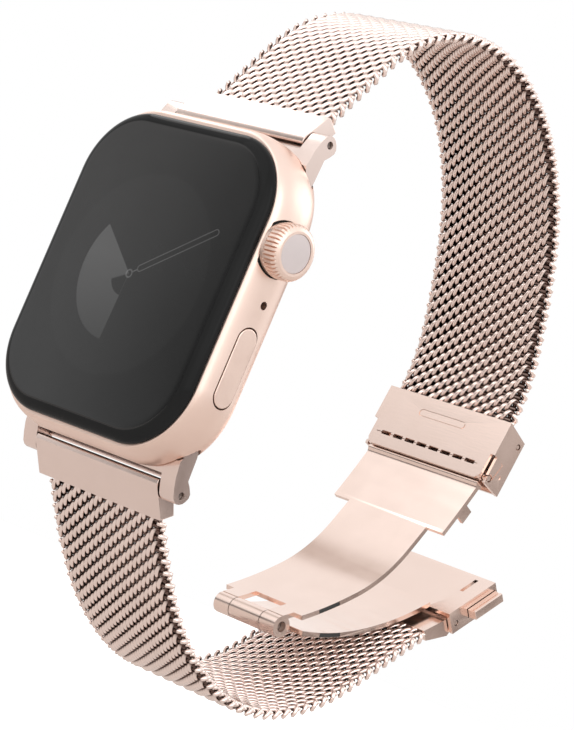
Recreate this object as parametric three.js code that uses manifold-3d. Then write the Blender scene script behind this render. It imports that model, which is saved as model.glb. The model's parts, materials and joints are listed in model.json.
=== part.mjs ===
// A smartwatch on a fine mesh bracelet with a fold-over clasp, shown with the clasp part open.
// Units are millimetres. +X is the crown side, -Y looks out of the display and +Z points to twelve
// o'clock. The origin is the centre of the flat crystal on the case back, which rests on the wrist.
import * as THREE from "three";
import { mergeVertices } from "three/addons/utils/BufferGeometryUtils.js";
import Module from "manifold-3d";

// ---------------------------------------------------------------- driving dimensions

const GAP = 0.3; // between pieces that touch on the real watch

const CASE = { halfX: 19, halfZ: 22, corner: 11, front: -9.3, back: -0.9, edgeDepth: 3.2, edgeInset: 1.1 };
const CAVITY = { halfX: 16.4, halfZ: 16.4, corner: 6, front: -8.3, back: -2.2 };
const FRONT_SEAT = { halfX: 17, halfZ: 20, corner: 9, depth: 1 };
const GLASS = { halfX: 17.6, halfZ: 20.45, corner: 9.6, top: -10.7, bottom: -9.5, edgeInset: 1.7 };
const DISPLAY = { halfX: 15.8, halfZ: 18.8, corner: 8, thickness: 0.7 };
const SEAL = { width: 0.5, thickness: 0.7 };
const BACK_COVER = { halfX: 14.7, halfZ: 14.1, corner: 8, front: -1.95, back: -0.95 };
const CRYSTAL = { radius: 12, flatRadius: 8, front: -2, rim: -0.9 };
// Pieces sealed in the case, all sitting in the cavity between the display and the back cover.
const SENSOR_LAYER = { front: -2.75, back: -2.3, boardRadius: 6.5, coilInner: 8, coilOuter: 11.5 };
const LOGIC_BOARD = { half: 15.8, corner: 5, front: -7.95, back: -7.25, chipBack: -6.5, crownRoom: 2.6 };
const BATTERY = { halfX: 10.4, halfZ: 9.5, corner: 1.5, x: 2.6, z: -5.5 };
const HAPTIC_MOTOR = { x0: -15.6, x1: -8.3, z0: -11.5, z1: 7 };
const SPEAKER = { x0: -12.5, x1: 0, z0: 9.4, z1: 15.2 };
const MODULES = { front: -6.2, back: -3.05 }; // depth range shared by battery, motor and speaker

const CROWN = { y: -6.2, z: 8.5, radius: 3.6, face: 21.9, base: 19.35, teeth: 40 };
const BUTTON = { y: -5.5, z: -7.05, length: 10.4, width: 3.2, top: 19.12 };
const MIC_HOLE = { y: -5.3, z: 1.4, radius: 0.4 };
const RELEASE = { z: 16.2, length: 5, width: 1.4, depth: 1.4 };

const LUG = { pinY: -1.9, pinZ: 23.7, halfX: 15.2, earInner: 12.55, pinRadius: 0.45 };
const BAR = { halfX: 12.3, slotDepth: 1.2 };

const MESH = { halfX: 11.3, thickness: 1.5 };
// Each band is a chain of stiff lengths: [length, turn in degrees] after its start and heading.
const UPPER_BAND = {
  y: 0.35, z: 26.85, heading: 61.3,
  arcs: [[12, -0.5], [14.5, -40.5], [14.5, -37.5], [14.3, -29], [14.5, -21], [13.2, -8], [10.5, -23]],
};
const LOWER_BAND = {
  y: 0.35, z: -26.85, heading: -54.8,
  arcs: [[13.7, 11.5], [13.8, 23.5], [13.9, 39], [13.8, 27], [13.7, -1.5]],
};

const SHEET = 0.9; // thickness of the clasp's blades
const CLAMP = { halfX: 11.95, wall: 0.5, inner: -1.42, outer: 3.2, length: 9, hingeU: 8.2, hingeN: -0.1 };
const FLAP = { hingeU: 1.98, hingeN: 2.3, thickness: 0.5, end: 9.4 };
const MIDDLE_BLADE = {
  y: 54.5, z: -5.25, heading: 251.1, wideHalfX: 10.87, narrowHalfX: 7.7, wideLength: 8.6,
  arcs: [[13.35, -6], [10.25, -25.8], [12.3, -10.7]],
};
const LOWER_BLADE = { y: 34.9, z: -33.6, heading: 7.7, halfX: 7.7, arcs: [[12.8, 17.7], [12.85, 14.9]] };
const KNUCKLE = { y: 33.5, z: -33.7, radius: 1.5, pinRadius: 0.6, centreHalfX: 3, outerHalfX: 6.1 };
const CATCH = { x: 9, thickness: 0.8, start: 2.2, length: 2.1, reach: 3.2, slotFrom: 4.9 };
const END_BOX = { y: 58.1, z: -23, heading: 45, halfX: 11.8, wall: 0.6, length: 9.6, depth: 3.3 };
const LINK_PIN = { u: 0.99, n: -1.98, radius: 0.3, clearance: 0.42, eyeRadius: 1.02 };
const PUSHER = { from: 3.5, to: 9.2, top: -1.1, bottom: -2.4, inner: 10.3, proud: 2.2 };

// ---------------------------------------------------------------- solids

const wasm = await Module();
wasm.setup();

function toSolid(geometry) {
  const bare = geometry.index ? geometry.toNonIndexed() : geometry.clone();
  bare.deleteAttribute("normal");
  bare.deleteAttribute("uv");
  const merged = mergeVertices(bare, 1e-4);
  return new wasm.Manifold(new wasm.Mesh({
    numProp: 3,
    vertProperties: merged.attributes.position.array,
    triVerts: new Uint32Array(merged.index.array),
  }));
}

function toGeometry(solid) {
  const mesh = solid.getMesh();
  const geometry = new THREE.BufferGeometry();
  geometry.setAttribute("position", new THREE.BufferAttribute(mesh.vertProperties, 3));
  geometry.setIndex(new THREE.BufferAttribute(mesh.triVerts, 1));
  return geometry;
}

function join(first, ...others) {
  return toGeometry(others.reduce((solid, part) => solid.add(toSolid(part)), toSolid(first)));
}

function cut(base, ...tools) {
  return toGeometry(tools.reduce((solid, tool) => solid.subtract(toSolid(tool)), toSolid(base)));
}

function common(first, second) {
  return toGeometry(toSolid(first).intersect(toSolid(second)));
}

// ---------------------------------------------------------------- outlines and sweeps

const X_AXIS = new THREE.Vector3(1, 0, 0);
const Y_AXIS = new THREE.Vector3(0, 1, 0);
const Z_AXIS = new THREE.Vector3(0, 0, 1);
const SIDE_VIEW = new THREE.Matrix4().makeBasis(Y_AXIS, Z_AXIS, X_AXIS); // outline in Y-Z, swept along +X
const FRONT_VIEW = new THREE.Matrix4().makeBasis(X_AXIS, Z_AXIS, Y_AXIS.clone().negate()); // swept along -Y

const flat = { bevelEnabled: false, steps: 1 };

// A prism of a Y-Z outline from x0 to x1.
function alongX(shape, x0, x1, curveSegments = 6) {
  const prism = new THREE.ExtrudeGeometry(shape, { ...flat, depth: x1 - x0, curveSegments });
  return prism.translate(0, 0, x0).applyMatrix4(SIDE_VIEW);
}

// The same prism, centred on x = 0.
function acrossX(shape, halfX, curveSegments = 6) {
  return alongX(shape, -halfX, halfX, curveSegments);
}

// A plate of an X-Z outline from y0 (front) to y1 (back).
function alongY(shape, y0, y1, curveSegments = 6) {
  const plate = new THREE.ExtrudeGeometry(shape, { ...flat, depth: y1 - y0, curveSegments });
  return plate.applyMatrix4(FRONT_VIEW).translate(0, y1, 0);
}

// A plate whose two faces are drawn in by inset over edgeDepth, along a quarter of an ellipse.
function pillow(shape, y0, y1, edgeDepth, inset, curveSegments, bevelSegments) {
  const plate = new THREE.ExtrudeGeometry(shape, {
    depth: y1 - y0 - 2 * edgeDepth,
    bevelEnabled: true,
    bevelThickness: edgeDepth,
    bevelSize: inset,
    bevelOffset: -inset,
    bevelSegments,
    curveSegments,
    steps: 1,
  });
  return plate.applyMatrix4(FRONT_VIEW).translate(0, y1 - edgeDepth, 0);
}

function box(x0, x1, y0, y1, z0, z1) {
  const block = new THREE.BoxGeometry(x1 - x0, y1 - y0, z1 - z0);
  return block.translate((x0 + x1) / 2, (y0 + y1) / 2, (z0 + z1) / 2);
}

function polygon(points) {
  return new THREE.Shape(points.map(([a, b]) => new THREE.Vector2(a, b)));
}

function circle(a, b, radius) {
  return new THREE.Shape().absarc(a, b, radius, 0, 2 * Math.PI, false);
}

function roundedRectangle(halfA, halfB, radius, a = 0, b = 0) {
  const shape = new THREE.Shape();
  const corners = [[1, -1, 1.5], [1, 1, 0], [-1, 1, 0.5], [-1, -1, 1]];
  for (const [signA, signB, quarter] of corners) {
    const centreA = a + signA * (halfA - radius);
    const centreB = b + signB * (halfB - radius);
    shape.absarc(centreA, centreB, radius, quarter * Math.PI, (quarter + 0.5) * Math.PI, false);
  }
  return shape;
}

// An upright pill in the Y-Z plane, length along Z.
function pill(y, z, width, length) {
  return roundedRectangle(width / 2, length / 2, width / 2 - 0.01, y, z);
}

// A turned piece: [radius, height] pairs from axis to axis, or closed on themselves, about the X axis.
function turnedX(profile, y, z, segments = 20) {
  const points = profile.map(([radius, height]) => new THREE.Vector2(radius, height));
  const piece = new THREE.LatheGeometry(points, segments);
  const toX = new THREE.Matrix4().makeBasis(Y_AXIS, X_AXIS, Z_AXIS.clone().negate());
  return piece.applyMatrix4(toX).translate(0, y, z);
}

// The same about the Y axis through the origin.
function turnedY(profile, segments = 32) {
  const points = profile.map(([radius, height]) => new THREE.Vector2(radius, height));
  return new THREE.LatheGeometry(points, segments);
}

function rodX(y, z, radius, x0, x1, curveSegments = 12) {
  return alongX(circle(y, z, radius), x0, x1, curveSegments);
}

// ---------------------------------------------------------------- curved strips

// Points along a chain of arcs, from start to end distance along it.
function stations(path, from, to, step = 3.5) {
  const marks = [];
  const count = Math.max(1, Math.ceil((to - from) / step));
  for (let i = 0; i <= count; i++) marks.push(stationAt(path, from + ((to - from) * i) / count));
  return marks;
}

function stationAt(path, distance) {
  let { y, z } = path;
  let heading = THREE.MathUtils.degToRad(path.heading);
  let left = distance;
  for (const [index, [length, turnDegrees]] of path.arcs.entries()) {
    const last = index === path.arcs.length - 1;
    const travel = last ? left : Math.min(left, length);
    const turn = (THREE.MathUtils.degToRad(turnDegrees) * travel) / length;
    const chord = Math.abs(turn) > 1e-6 ? (2 * travel * Math.sin(turn / 2)) / turn : travel;
    y += chord * Math.cos(heading + turn / 2);
    z += chord * Math.sin(heading + turn / 2);
    heading += turn;
    left -= travel;
    if (left <= 0) break;
  }
  return { y, z, heading };
}

function offset({ y, z, heading }, distance) {
  return [y - distance * Math.sin(heading), z + distance * Math.cos(heading)];
}

// The outline of a strip that follows a path, between two offsets from its centre line.
function strip(path, from, to, low, high, step) {
  const marks = stations(path, from, to, step);
  const near = marks.map((mark) => offset(mark, low));
  const far = marks.map((mark) => offset(mark, high)).reverse();
  return polygon([...near, ...far]);
}

function pathLength(path) {
  return path.arcs.reduce((sum, [length]) => sum + length, 0);
}

// ---------------------------------------------------------------- materials

function metal(color, roughness) {
  return new THREE.MeshStandardMaterial({ color, roughness, metalness: 1 });
}

function dielectric(color, roughness) {
  return new THREE.MeshStandardMaterial({ color, roughness, metalness: 0 });
}

const caseAluminium = metal(0xf3dccf, 0.35);
const roseSteel = metal(0xd9b9ac, 0.25);
const springSteel = metal(0x9a9a9c, 0.35);
const blackGlass = dielectric(0x141416, 0.05);
const displayBlack = dielectric(0x242426, 0.4);
const blackPlastic = dielectric(0x1c1c1e, 0.5);
const sealRubber = dielectric(0x2a2a2a, 0.8);
const darkCrystal = dielectric(0x1a1a20, 0.1);
const ceramicBack = dielectric(0xe8dcd4, 0.3);
const batteryFoil = dielectric(0x3a3b40, 0.45);
const boardGreen = dielectric(0x20402c, 0.6);
const coilCopper = metal(0xb87333, 0.4);
const crownGrey = metal(0xb4adad, 0.4);

const watch = new THREE.Group();

function add(parent, name, geometry, material) {
  const mesh = new THREE.Mesh(geometry, material);
  mesh.name = name;
  parent.add(mesh);
}

// A group whose own +Y runs along a heading in the Y-Z plane and whose +Z is square to it.
function headedGroup(y, z, degrees) {
  const group = new THREE.Group();
  group.position.set(0, y, z);
  group.rotation.x = THREE.MathUtils.degToRad(degrees);
  watch.add(group);
  return group;
}

// ---------------------------------------------------------------- lug adapters

// The ear and slider share one outline, in (y, distance from the watch's middle).
const EAR = [
  [-4.35, 19.9], [-3.3, 18.1], [-3.0, 17.8], [-2.3, 17.75], [-2.0, 18.1], [-1.8, 21.7],
  [-0.6, 23.1], [-0.9, 24.1], [-1.6, 24.8], [-2.5, 24.8], [-3.1, 24.3], [-4, 22],
];
const SLIDER = [
  [-4.35, 19.9], [-3.3, 18.1], [-3.0, 17.8], [-2.3, 17.75], [-2.0, 18.1], [-1.8, 21.7], [-3.95, 21.7],
];
// The channel is the slider's outline, GAP larger all round and open at the end of the case.
const CHANNEL = [[-4.75, 19.9], [-3.5, 17.6], [-2, 17.4], [-1.65, 17.9], [-1.45, 24], [-4.75, 24]];
// The bar's outline hugs its pin at the top and holds the mesh at its lower end.
const BAR_OUTLINE = [
  [-3.8, 22.75], [-3.8, 23.25], [-0.85, 27.5], [1.05, 26.2],
  [0.3, 24.9], [-0.3, 23.4], [-1.2, 22.5], [-3.2, 22.5],
];

function mirrored(outline, side) {
  return polygon(outline.map(([y, z]) => [y, side * z]));
}

function lugAdapter(side) {
  const slider = acrossX(mirrored(SLIDER, side), LUG.halfX);
  const rightEar = alongX(mirrored(EAR, side), LUG.earInner, LUG.halfX);
  const leftEar = alongX(mirrored(EAR, side), -LUG.halfX, -LUG.earInner);
  const pinHole = rodX(LUG.pinY, side * LUG.pinZ, LUG.pinRadius + GAP, -20, 20);
  return cut(join(slider, rightEar, leftEar), pinHole);
}

function bandBar(side, path) {
  const body = acrossX(mirrored(BAR_OUTLINE, side), BAR.halfX);
  const pinHole = rodX(LUG.pinY, side * LUG.pinZ, LUG.pinRadius + GAP, -20, 20);
  const halfSlot = MESH.thickness / 2 + GAP;
  const slot = acrossX(strip(path, -BAR.slotDepth, 3, -halfSlot, halfSlot), MESH.halfX + GAP);
  return cut(body, pinHole, slot);
}

function buildLugs() {
  for (const [place, side, path] of [["upper", 1, UPPER_BAND], ["lower", -1, LOWER_BAND]]) {
    const pin = rodX(LUG.pinY, side * LUG.pinZ, LUG.pinRadius, -LUG.halfX + 0.4, LUG.halfX - 0.4);
    add(watch, `${place}_lug_adapter`, lugAdapter(side), roseSteel);
    add(watch, `${place}_lug_pin`, pin, springSteel);
    add(watch, `${place}_band_bar`, bandBar(side, path), roseSteel);
  }
}

// ---------------------------------------------------------------- case

function releasePill(side, clearance) {
  const halfX = RELEASE.length / 2 + clearance;
  const halfZ = RELEASE.width / 2 + clearance;
  return roundedRectangle(halfX, halfZ, halfZ - 0.01, 0, side * RELEASE.z);
}

function caseShell() {
  const outline = roundedRectangle(CASE.halfX, CASE.halfZ, CASE.corner);
  const outer = pillow(outline, CASE.front, CASE.back, CASE.edgeDepth, CASE.edgeInset, 9, 5);
  const seat = roundedRectangle(FRONT_SEAT.halfX, FRONT_SEAT.halfZ, FRONT_SEAT.corner);
  const cavity = roundedRectangle(CAVITY.halfX, CAVITY.halfZ, CAVITY.corner);
  const clear = BACK_COVER.halfX + GAP;
  const backMouth = roundedRectangle(clear, BACK_COVER.halfZ + GAP, BACK_COVER.corner);
  const speakerSlots = [-4.5, -9.5].map((z) => alongX(pill(CROWN.y, z, 0.9, 3.6), -20, -15));
  const channels = [1, -1].map((side) => acrossX(mirrored(CHANNEL, side), 20));
  const releases = [1, -1].map((side) => alongY(releasePill(side, 0.25), CASE.back - 2.1, 0));
  return cut(
    outer,
    alongY(seat, CASE.front - 1, CASE.front + FRONT_SEAT.depth, 7),
    alongY(cavity, CAVITY.front - 0.1, CAVITY.back, 5),
    alongY(backMouth, CAVITY.back - 0.1, 0, 5),
    rodX(CROWN.y, CROWN.z, 2.3, 15, 20),
    alongX(pill(BUTTON.y, BUTTON.z, BUTTON.width + 2 * GAP, BUTTON.length + 2 * GAP), 15, 20),
    rodX(MIC_HOLE.y, MIC_HOLE.z, MIC_HOLE.radius, 15, 20, 6),
    ...speakerSlots,
    ...channels,
    ...releases,
  );
}

function frontGlass() {
  const outline = roundedRectangle(GLASS.halfX, GLASS.halfZ, GLASS.corner);
  const edgeDepth = GLASS.bottom - GLASS.top - 0.15;
  const lens = pillow(outline, GLASS.top, GLASS.bottom + edgeDepth, edgeDepth, GLASS.edgeInset, 8, 4);
  return common(lens, box(-20, 20, GLASS.top - 1, GLASS.bottom, -25, 25));
}

function displaySeal() {
  const halfX = DISPLAY.halfX + GAP;
  const halfZ = DISPLAY.halfZ + GAP;
  const outer = roundedRectangle(halfX + SEAL.width, halfZ + SEAL.width, DISPLAY.corner + GAP + SEAL.width);
  const inner = roundedRectangle(halfX, halfZ, DISPLAY.corner + GAP);
  const front = GLASS.bottom + 0.25;
  const ring = alongY(outer, front, front + SEAL.thickness);
  return cut(ring, alongY(inner, front - 1, front + SEAL.thickness + 1));
}

function backCover() {
  const outline = roundedRectangle(BACK_COVER.halfX, BACK_COVER.halfZ, BACK_COVER.corner);
  const plate = alongY(outline, BACK_COVER.front, BACK_COVER.back, 5);
  return cut(plate, alongY(circle(0, 0, CRYSTAL.radius + GAP), -5, 5, 18));
}

function sensorCrystal() {
  const profile = [[0, CRYSTAL.front], [CRYSTAL.radius, CRYSTAL.front], [CRYSTAL.radius, CRYSTAL.rim]];
  const steps = 4;
  for (let i = 1; i <= steps; i++) {
    const angle = (i / steps) * (Math.PI / 2);
    const radius = CRYSTAL.flatRadius + (CRYSTAL.radius - CRYSTAL.flatRadius) * Math.cos(angle);
    profile.push([radius, CRYSTAL.rim * (1 - Math.sin(angle))]);
  }
  profile.push([0, 0]);
  return turnedY(profile, 36);
}

function logicBoard() {
  const { half, corner, front, back, chipBack, crownRoom } = LOGIC_BOARD;
  const board = alongY(roundedRectangle(half, half, corner), front, back, 3);
  const chips = box(-9, 7, back - 0.1, chipBack, -1, 8);
  const stemRoom = box(8.7, half + 1, front - 1, chipBack, CROWN.z - crownRoom, CROWN.z + crownRoom);
  return cut(join(board, chips), stemRoom);
}

function buildCase() {
  const displayOutline = roundedRectangle(DISPLAY.halfX, DISPLAY.halfZ, DISPLAY.corner);
  const displayFront = GLASS.bottom + 0.25;
  add(watch, "case_shell", caseShell(), caseAluminium);
  add(watch, "front_glass", frontGlass(), blackGlass);
  const panel = alongY(displayOutline, displayFront, displayFront + DISPLAY.thickness, 5);
  add(watch, "display_panel", panel, displayBlack);
  add(watch, "display_seal", displaySeal(), sealRubber);
  add(watch, "back_cover", backCover(), ceramicBack);
  add(watch, "sensor_crystal", sensorCrystal(), darkCrystal);
  add(watch, "logic_board", logicBoard(), boardGreen);
  add(watch, "microphone", rodX(MIC_HOLE.y, MIC_HOLE.z + 3.7, 1, 14.2, 15.9, 5), springSteel);
  for (const [place, side] of [["upper", 1], ["lower", -1]]) {
    const front = CASE.back - 0.05 - RELEASE.depth;
    const button = alongY(releasePill(side, 0), front, CASE.back - 0.05, 4);
    add(watch, `${place}_release_button`, button, caseAluminium);
  }
}

// A flat ring, or a disc when inner is zero, in the layer behind the crystal.
function sensorRing(inner, outer, segments) {
  const { front, back } = SENSOR_LAYER;
  const profile = [[inner, front], [outer, front], [outer, back], [inner, back]];
  if (inner) profile.push([inner, front]);
  return turnedY(profile, segments);
}

function buildModules() {
  const { front, back } = MODULES;
  const pouch = roundedRectangle(BATTERY.halfX, BATTERY.halfZ, BATTERY.corner, BATTERY.x, BATTERY.z);
  const motor = box(HAPTIC_MOTOR.x0, HAPTIC_MOTOR.x1, front, back, HAPTIC_MOTOR.z0, HAPTIC_MOTOR.z1);
  const speaker = box(SPEAKER.x0, SPEAKER.x1, front, back, SPEAKER.z0, SPEAKER.z1);
  add(watch, "sensor_board", sensorRing(0, SENSOR_LAYER.boardRadius, 20), boardGreen);
  add(watch, "charging_coil", sensorRing(SENSOR_LAYER.coilInner, SENSOR_LAYER.coilOuter, 24), coilCopper);
  add(watch, "battery", alongY(pouch, front, back, 2), batteryFoil);
  add(watch, "haptic_motor", motor, springSteel);
  add(watch, "speaker_module", speaker, blackPlastic);
}

// ---------------------------------------------------------------- crown and side button

function crownWheel() {
  const shape = new THREE.Shape();
  const count = 2 * CROWN.teeth;
  for (let i = 0; i < count; i++) {
    const angle = (i / count) * 2 * Math.PI;
    const radius = i % 2 ? CROWN.radius - 0.22 : CROWN.radius;
    const a = CROWN.y + radius * Math.cos(angle);
    const b = CROWN.z + radius * Math.sin(angle);
    if (i) shape.lineTo(a, b);
    else shape.moveTo(a, b);
  }
  const teeth = alongX(shape, CROWN.base + 0.3, CROWN.face - 0.5);
  const rim = CROWN.radius - 0.35;
  const drum = turnedX(
    [[0, CROWN.base], [rim, CROWN.base], [rim, CROWN.face - 0.3], [rim - 0.3, CROWN.face], [0, CROWN.face]],
    CROWN.y, CROWN.z, 32,
  );
  const bore = rodX(CROWN.y, CROWN.z, 1.3, CROWN.base - 1, CROWN.face + 1);
  const headRoom = rodX(CROWN.y, CROWN.z, 2.1, CROWN.base + 0.9, CROWN.face + 1);
  const capSeat = rodX(CROWN.y, CROWN.z, 2.65, CROWN.face - 0.9, CROWN.face + 1);
  return cut(join(drum, teeth), bore, headRoom, capSeat);
}

function crownStem() {
  const head = CROWN.base + 1.2;
  return turnedX(
    [[0, 11.3], [1, 11.3], [1, 12.6], [1.8, 12.6], [1.8, 13.3], [1, 13.3], [1, head], [1.8, head],
      [1.8, head + 0.3], [0, head + 0.3]],
    CROWN.y, CROWN.z, 16,
  );
}

function buildControls() {
  const { y, z } = CROWN;
  const bushProfile = [[1.3, 15], [2, 15], [2, 18.8], [1.3, 18.8], [1.3, 15]];
  add(watch, "crown_bush", turnedX(bushProfile, y, z), springSteel);
  add(watch, "crown_switch", box(9.2, 10.9, y - 1.1, y + 1.1, z - 1, z + 1), blackPlastic);
  add(watch, "crown_stem", crownStem(), springSteel);
  add(watch, "crown_wheel", crownWheel(), caseAluminium);
  const capBase = CROWN.face - 0.85;
  const capProfile = [[0, capBase], [2.35, capBase], [2.35, CROWN.face - 0.1], [0, CROWN.face - 0.05]];
  add(watch, "crown_cap", turnedX(capProfile, y, z, 28), crownGrey);
  const plate = alongX(pill(BUTTON.y, BUTTON.z, BUTTON.width, BUTTON.length), 17.2, BUTTON.top, 6);
  add(watch, "side_button", plate, caseAluminium);
  const half = 1.1;
  const switchBody = box(14.3, 16.6, BUTTON.y - half, BUTTON.y + half, BUTTON.z - half, BUTTON.z + half);
  add(watch, "side_button_switch", switchBody, blackPlastic);
}

// ---------------------------------------------------------------- mesh bands

function buildBand(place, path) {
  let distance = 0;
  const half = MESH.thickness / 2;
  path.arcs.forEach(([length], index) => {
    const first = index === 0;
    const start = first ? -BAR.slotDepth + GAP : distance + GAP / 2;
    const end = distance + length - GAP / 2;
    const name = `${place}_mesh_${index + 1}`;
    add(watch, name, acrossX(strip(path, start, end, -half, half), MESH.halfX), roseSteel);
    distance += length;
  });
}

// ---------------------------------------------------------------- clamp on the upper band

// Inside the clamp's group, +Y runs down along the mesh and +Z points away from the wrist.
function clampFrame() {
  const { halfX, wall, inner, outer, length } = CLAMP;
  const side = polygon([[-0.12, inner], [length, inner], [9.52, outer], [0.94, outer]]);
  const channelFloor = inner + wall;
  const hollow = polygon([[-2, channelFloor], [12, channelFloor], [12, 5], [-2, 5]]);
  const pinHole = rodX(CLAMP.hingeU, CLAMP.hingeN, 0.6, -15, 15, 8);
  const flapPinHole = rodX(FLAP.hingeU, FLAP.hingeN, 0.45, -15, 15, 8);
  const shoulders = [
    box(halfX - 0.75, halfX + 1, 5.1, 10, inner - 1, inner + 0.8),
    box(-halfX - 1, 0.75 - halfX, 5.1, 10, inner - 1, inner + 0.8),
  ];
  const slit = box(-10, 10, 6.9, 7.15, inner - 1, channelFloor + 0.2);
  const teeth = [];
  for (let i = 0; i < 8; i++) {
    const x = (i - 3.5) * 2.3;
    teeth.push(box(x - 0.6, x + 0.6, 6.65, 7.3, inner - 1, channelFloor + 0.2));
  }
  const channel = acrossX(hollow, halfX - wall);
  return cut(acrossX(side, halfX), channel, pinHole, flapPinHole, slit, ...teeth, ...shoulders);
}

// The cover that locks the mesh: it hinges near its top edge and its teeth press on the mesh.
function clampFlap() {
  const halfX = CLAMP.halfX - CLAMP.wall - GAP;
  const cover = box(-halfX, halfX, 1.3, FLAP.end, CLAMP.outer - FLAP.thickness, CLAMP.outer);
  const knuckle = rodX(FLAP.hingeU, FLAP.hingeN, 0.85, -halfX, halfX, 8);
  const toothBar = box(-9.5, 9.5, 6.4, 7.2, MESH.thickness / 2 + GAP + 0.1, CLAMP.outer);
  return cut(join(cover, knuckle, toothBar), rodX(FLAP.hingeU, FLAP.hingeN, 0.55, -15, 15, 8));
}

function buildClamp() {
  const end = stationAt(UPPER_BAND, pathLength(UPPER_BAND));
  const clamp = headedGroup(end.y, end.z, THREE.MathUtils.radToDeg(end.heading));
  add(clamp, "clamp_frame", clampFrame(), roseSteel);
  add(clamp, "clamp_flap", clampFlap(), roseSteel);
  const pinReach = CLAMP.halfX - 0.1;
  add(clamp, "clamp_flap_pin", rodX(FLAP.hingeU, FLAP.hingeN, 0.3, -pinReach, pinReach, 4), springSteel);
  const mesh = box(-MESH.halfX, MESH.halfX, GAP / 2, 6.1, -MESH.thickness / 2, MESH.thickness / 2);
  add(clamp, "upper_mesh_end", mesh, roseSteel);
  const hingePin = rodX(CLAMP.hingeU, CLAMP.hingeN, 0.4, -pinReach, pinReach, 6);
  add(clamp, "blade_hinge_pin", hingePin, springSteel);
}

// ---------------------------------------------------------------- fold-over blades

function clampPoint(u, n) {
  const end = stationAt(UPPER_BAND, pathLength(UPPER_BAND));
  const along = { y: end.y + u * Math.cos(end.heading), z: end.z + u * Math.sin(end.heading) };
  return offset({ ...along, heading: end.heading }, n);
}

// Short dents in both edges of a blade, near its knuckle.
function edgeNotches(path, from, to, halfX) {
  const outline = strip(path, from, to, -2, 2);
  return [alongX(outline, halfX - 0.5, halfX + 1), alongX(outline, -halfX - 1, 0.5 - halfX)];
}

function middleBlade() {
  const path = MIDDLE_BLADE;
  const length = pathLength(path);
  const half = SHEET / 2;
  const [hingeY, hingeZ] = clampPoint(CLAMP.hingeU, CLAMP.hingeN);
  const neck = polygon([
    [hingeY - 0.75, hingeZ], [hingeY + 0.55, hingeZ - 0.3],
    offset(stationAt(path, 0.3), half), offset(stationAt(path, 0.3), -half),
  ]);
  const wide = acrossX(strip(path, 0, path.wideLength, -half, half, 5), path.wideHalfX);
  const narrow = acrossX(strip(path, path.wideLength - 0.5, length - 2, -half, half, 2.6), path.narrowHalfX);
  const tail = acrossX(strip(path, length - 2.2, length, -half, half), KNUCKLE.outerHalfX);
  const barrel = rodX(hingeY, hingeZ, 0.8, -path.wideHalfX, path.wideHalfX, 8);
  const outer = rodX(KNUCKLE.y, KNUCKLE.z, KNUCKLE.radius, -KNUCKLE.outerHalfX, KNUCKLE.outerHalfX, 12);
  const centre = KNUCKLE.centreHalfX + 0.2;
  const pocket = rodX(KNUCKLE.y, KNUCKLE.z, KNUCKLE.radius + GAP, -centre, centre, 12);
  const window = acrossX(strip(path, length - 3.4, length + 2, -1.5, 1.5), centre);
  const blade = join(wide, narrow, tail, acrossX(neck, path.wideHalfX), barrel, outer, ...catchLegs());
  return cut(
    blade, window, pocket,
    rodX(hingeY, hingeZ, 0.6, -15, 15, 8),
    rodX(KNUCKLE.y, KNUCKLE.z, KNUCKLE.pinRadius + 0.2, -15, 15, 10),
    ...edgeNotches(path, length - 10, length - 6, path.narrowHalfX),
  );
}

// Two hooks bent down from the blade, which the end box's pushers hold when the clasp is shut.
function catchLegs() {
  const leg = strip(MIDDLE_BLADE, CATCH.start, CATCH.start + CATCH.length, 0.2, CATCH.reach + SHEET / 2);
  return [1, -1].map((sign) => {
    const middle = sign * CATCH.x;
    return alongX(leg, middle - CATCH.thickness / 2, middle + CATCH.thickness / 2);
  });
}

// The end box has its own frame: +Y runs along its plate to the free end and +Z faces the wrist.
const END_BOX_PLACE = new THREE.Matrix4()
  .makeRotationX(THREE.MathUtils.degToRad(END_BOX.heading))
  .setPosition(0, END_BOX.y, END_BOX.z);

// The leaf runs from the knuckle and widens into the top plate and side walls of the end box.
function lowerBlade() {
  const path = LOWER_BLADE;
  const length = pathLength(path);
  const half = SHEET / 2;
  const { halfX, wall, depth, length: boxLength } = END_BOX;
  const leaf = acrossX(strip(path, 2.2, length + 0.6, -half, half, 2.6), path.halfX);
  const neck = acrossX(strip(path, -0.8, 2.4, -half, half), KNUCKLE.centreHalfX);
  const barrel = rodX(KNUCKLE.y, KNUCKLE.z, KNUCKLE.radius, -KNUCKLE.centreHalfX, KNUCKLE.centreHalfX, 12);
  const shell = cut(
    box(-halfX, halfX, 0, boxLength, -depth, 0),
    box(wall - halfX, halfX - wall, -1, boxLength + 1, -depth - 1, -wall),
    rodX(LINK_PIN.u, LINK_PIN.n, LINK_PIN.radius + 0.15, -15, 15, 6),
    ...catchSlots(),
    box(-15, 15, PUSHER.from - GAP, PUSHER.to + GAP, PUSHER.bottom - GAP, PUSHER.top + GAP),
  ).applyMatrix4(END_BOX_PLACE);
  return cut(
    join(leaf, neck, barrel, shell),
    rodX(KNUCKLE.y, KNUCKLE.z, KNUCKLE.pinRadius + 0.2, -15, 15, 10),
    ...edgeNotches(path, 6, 10, path.halfX),
  );
}

// Open slots in the free edge of the end box, where the middle blade's hooks drop in.
function catchSlots() {
  const halfSlot = CATCH.thickness / 2 + GAP;
  return [1, -1].map((sign) => {
    const middle = sign * CATCH.x;
    return box(middle - halfSlot, middle + halfSlot, CATCH.slotFrom, END_BOX.length + 1, -1.5, 1);
  });
}

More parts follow.
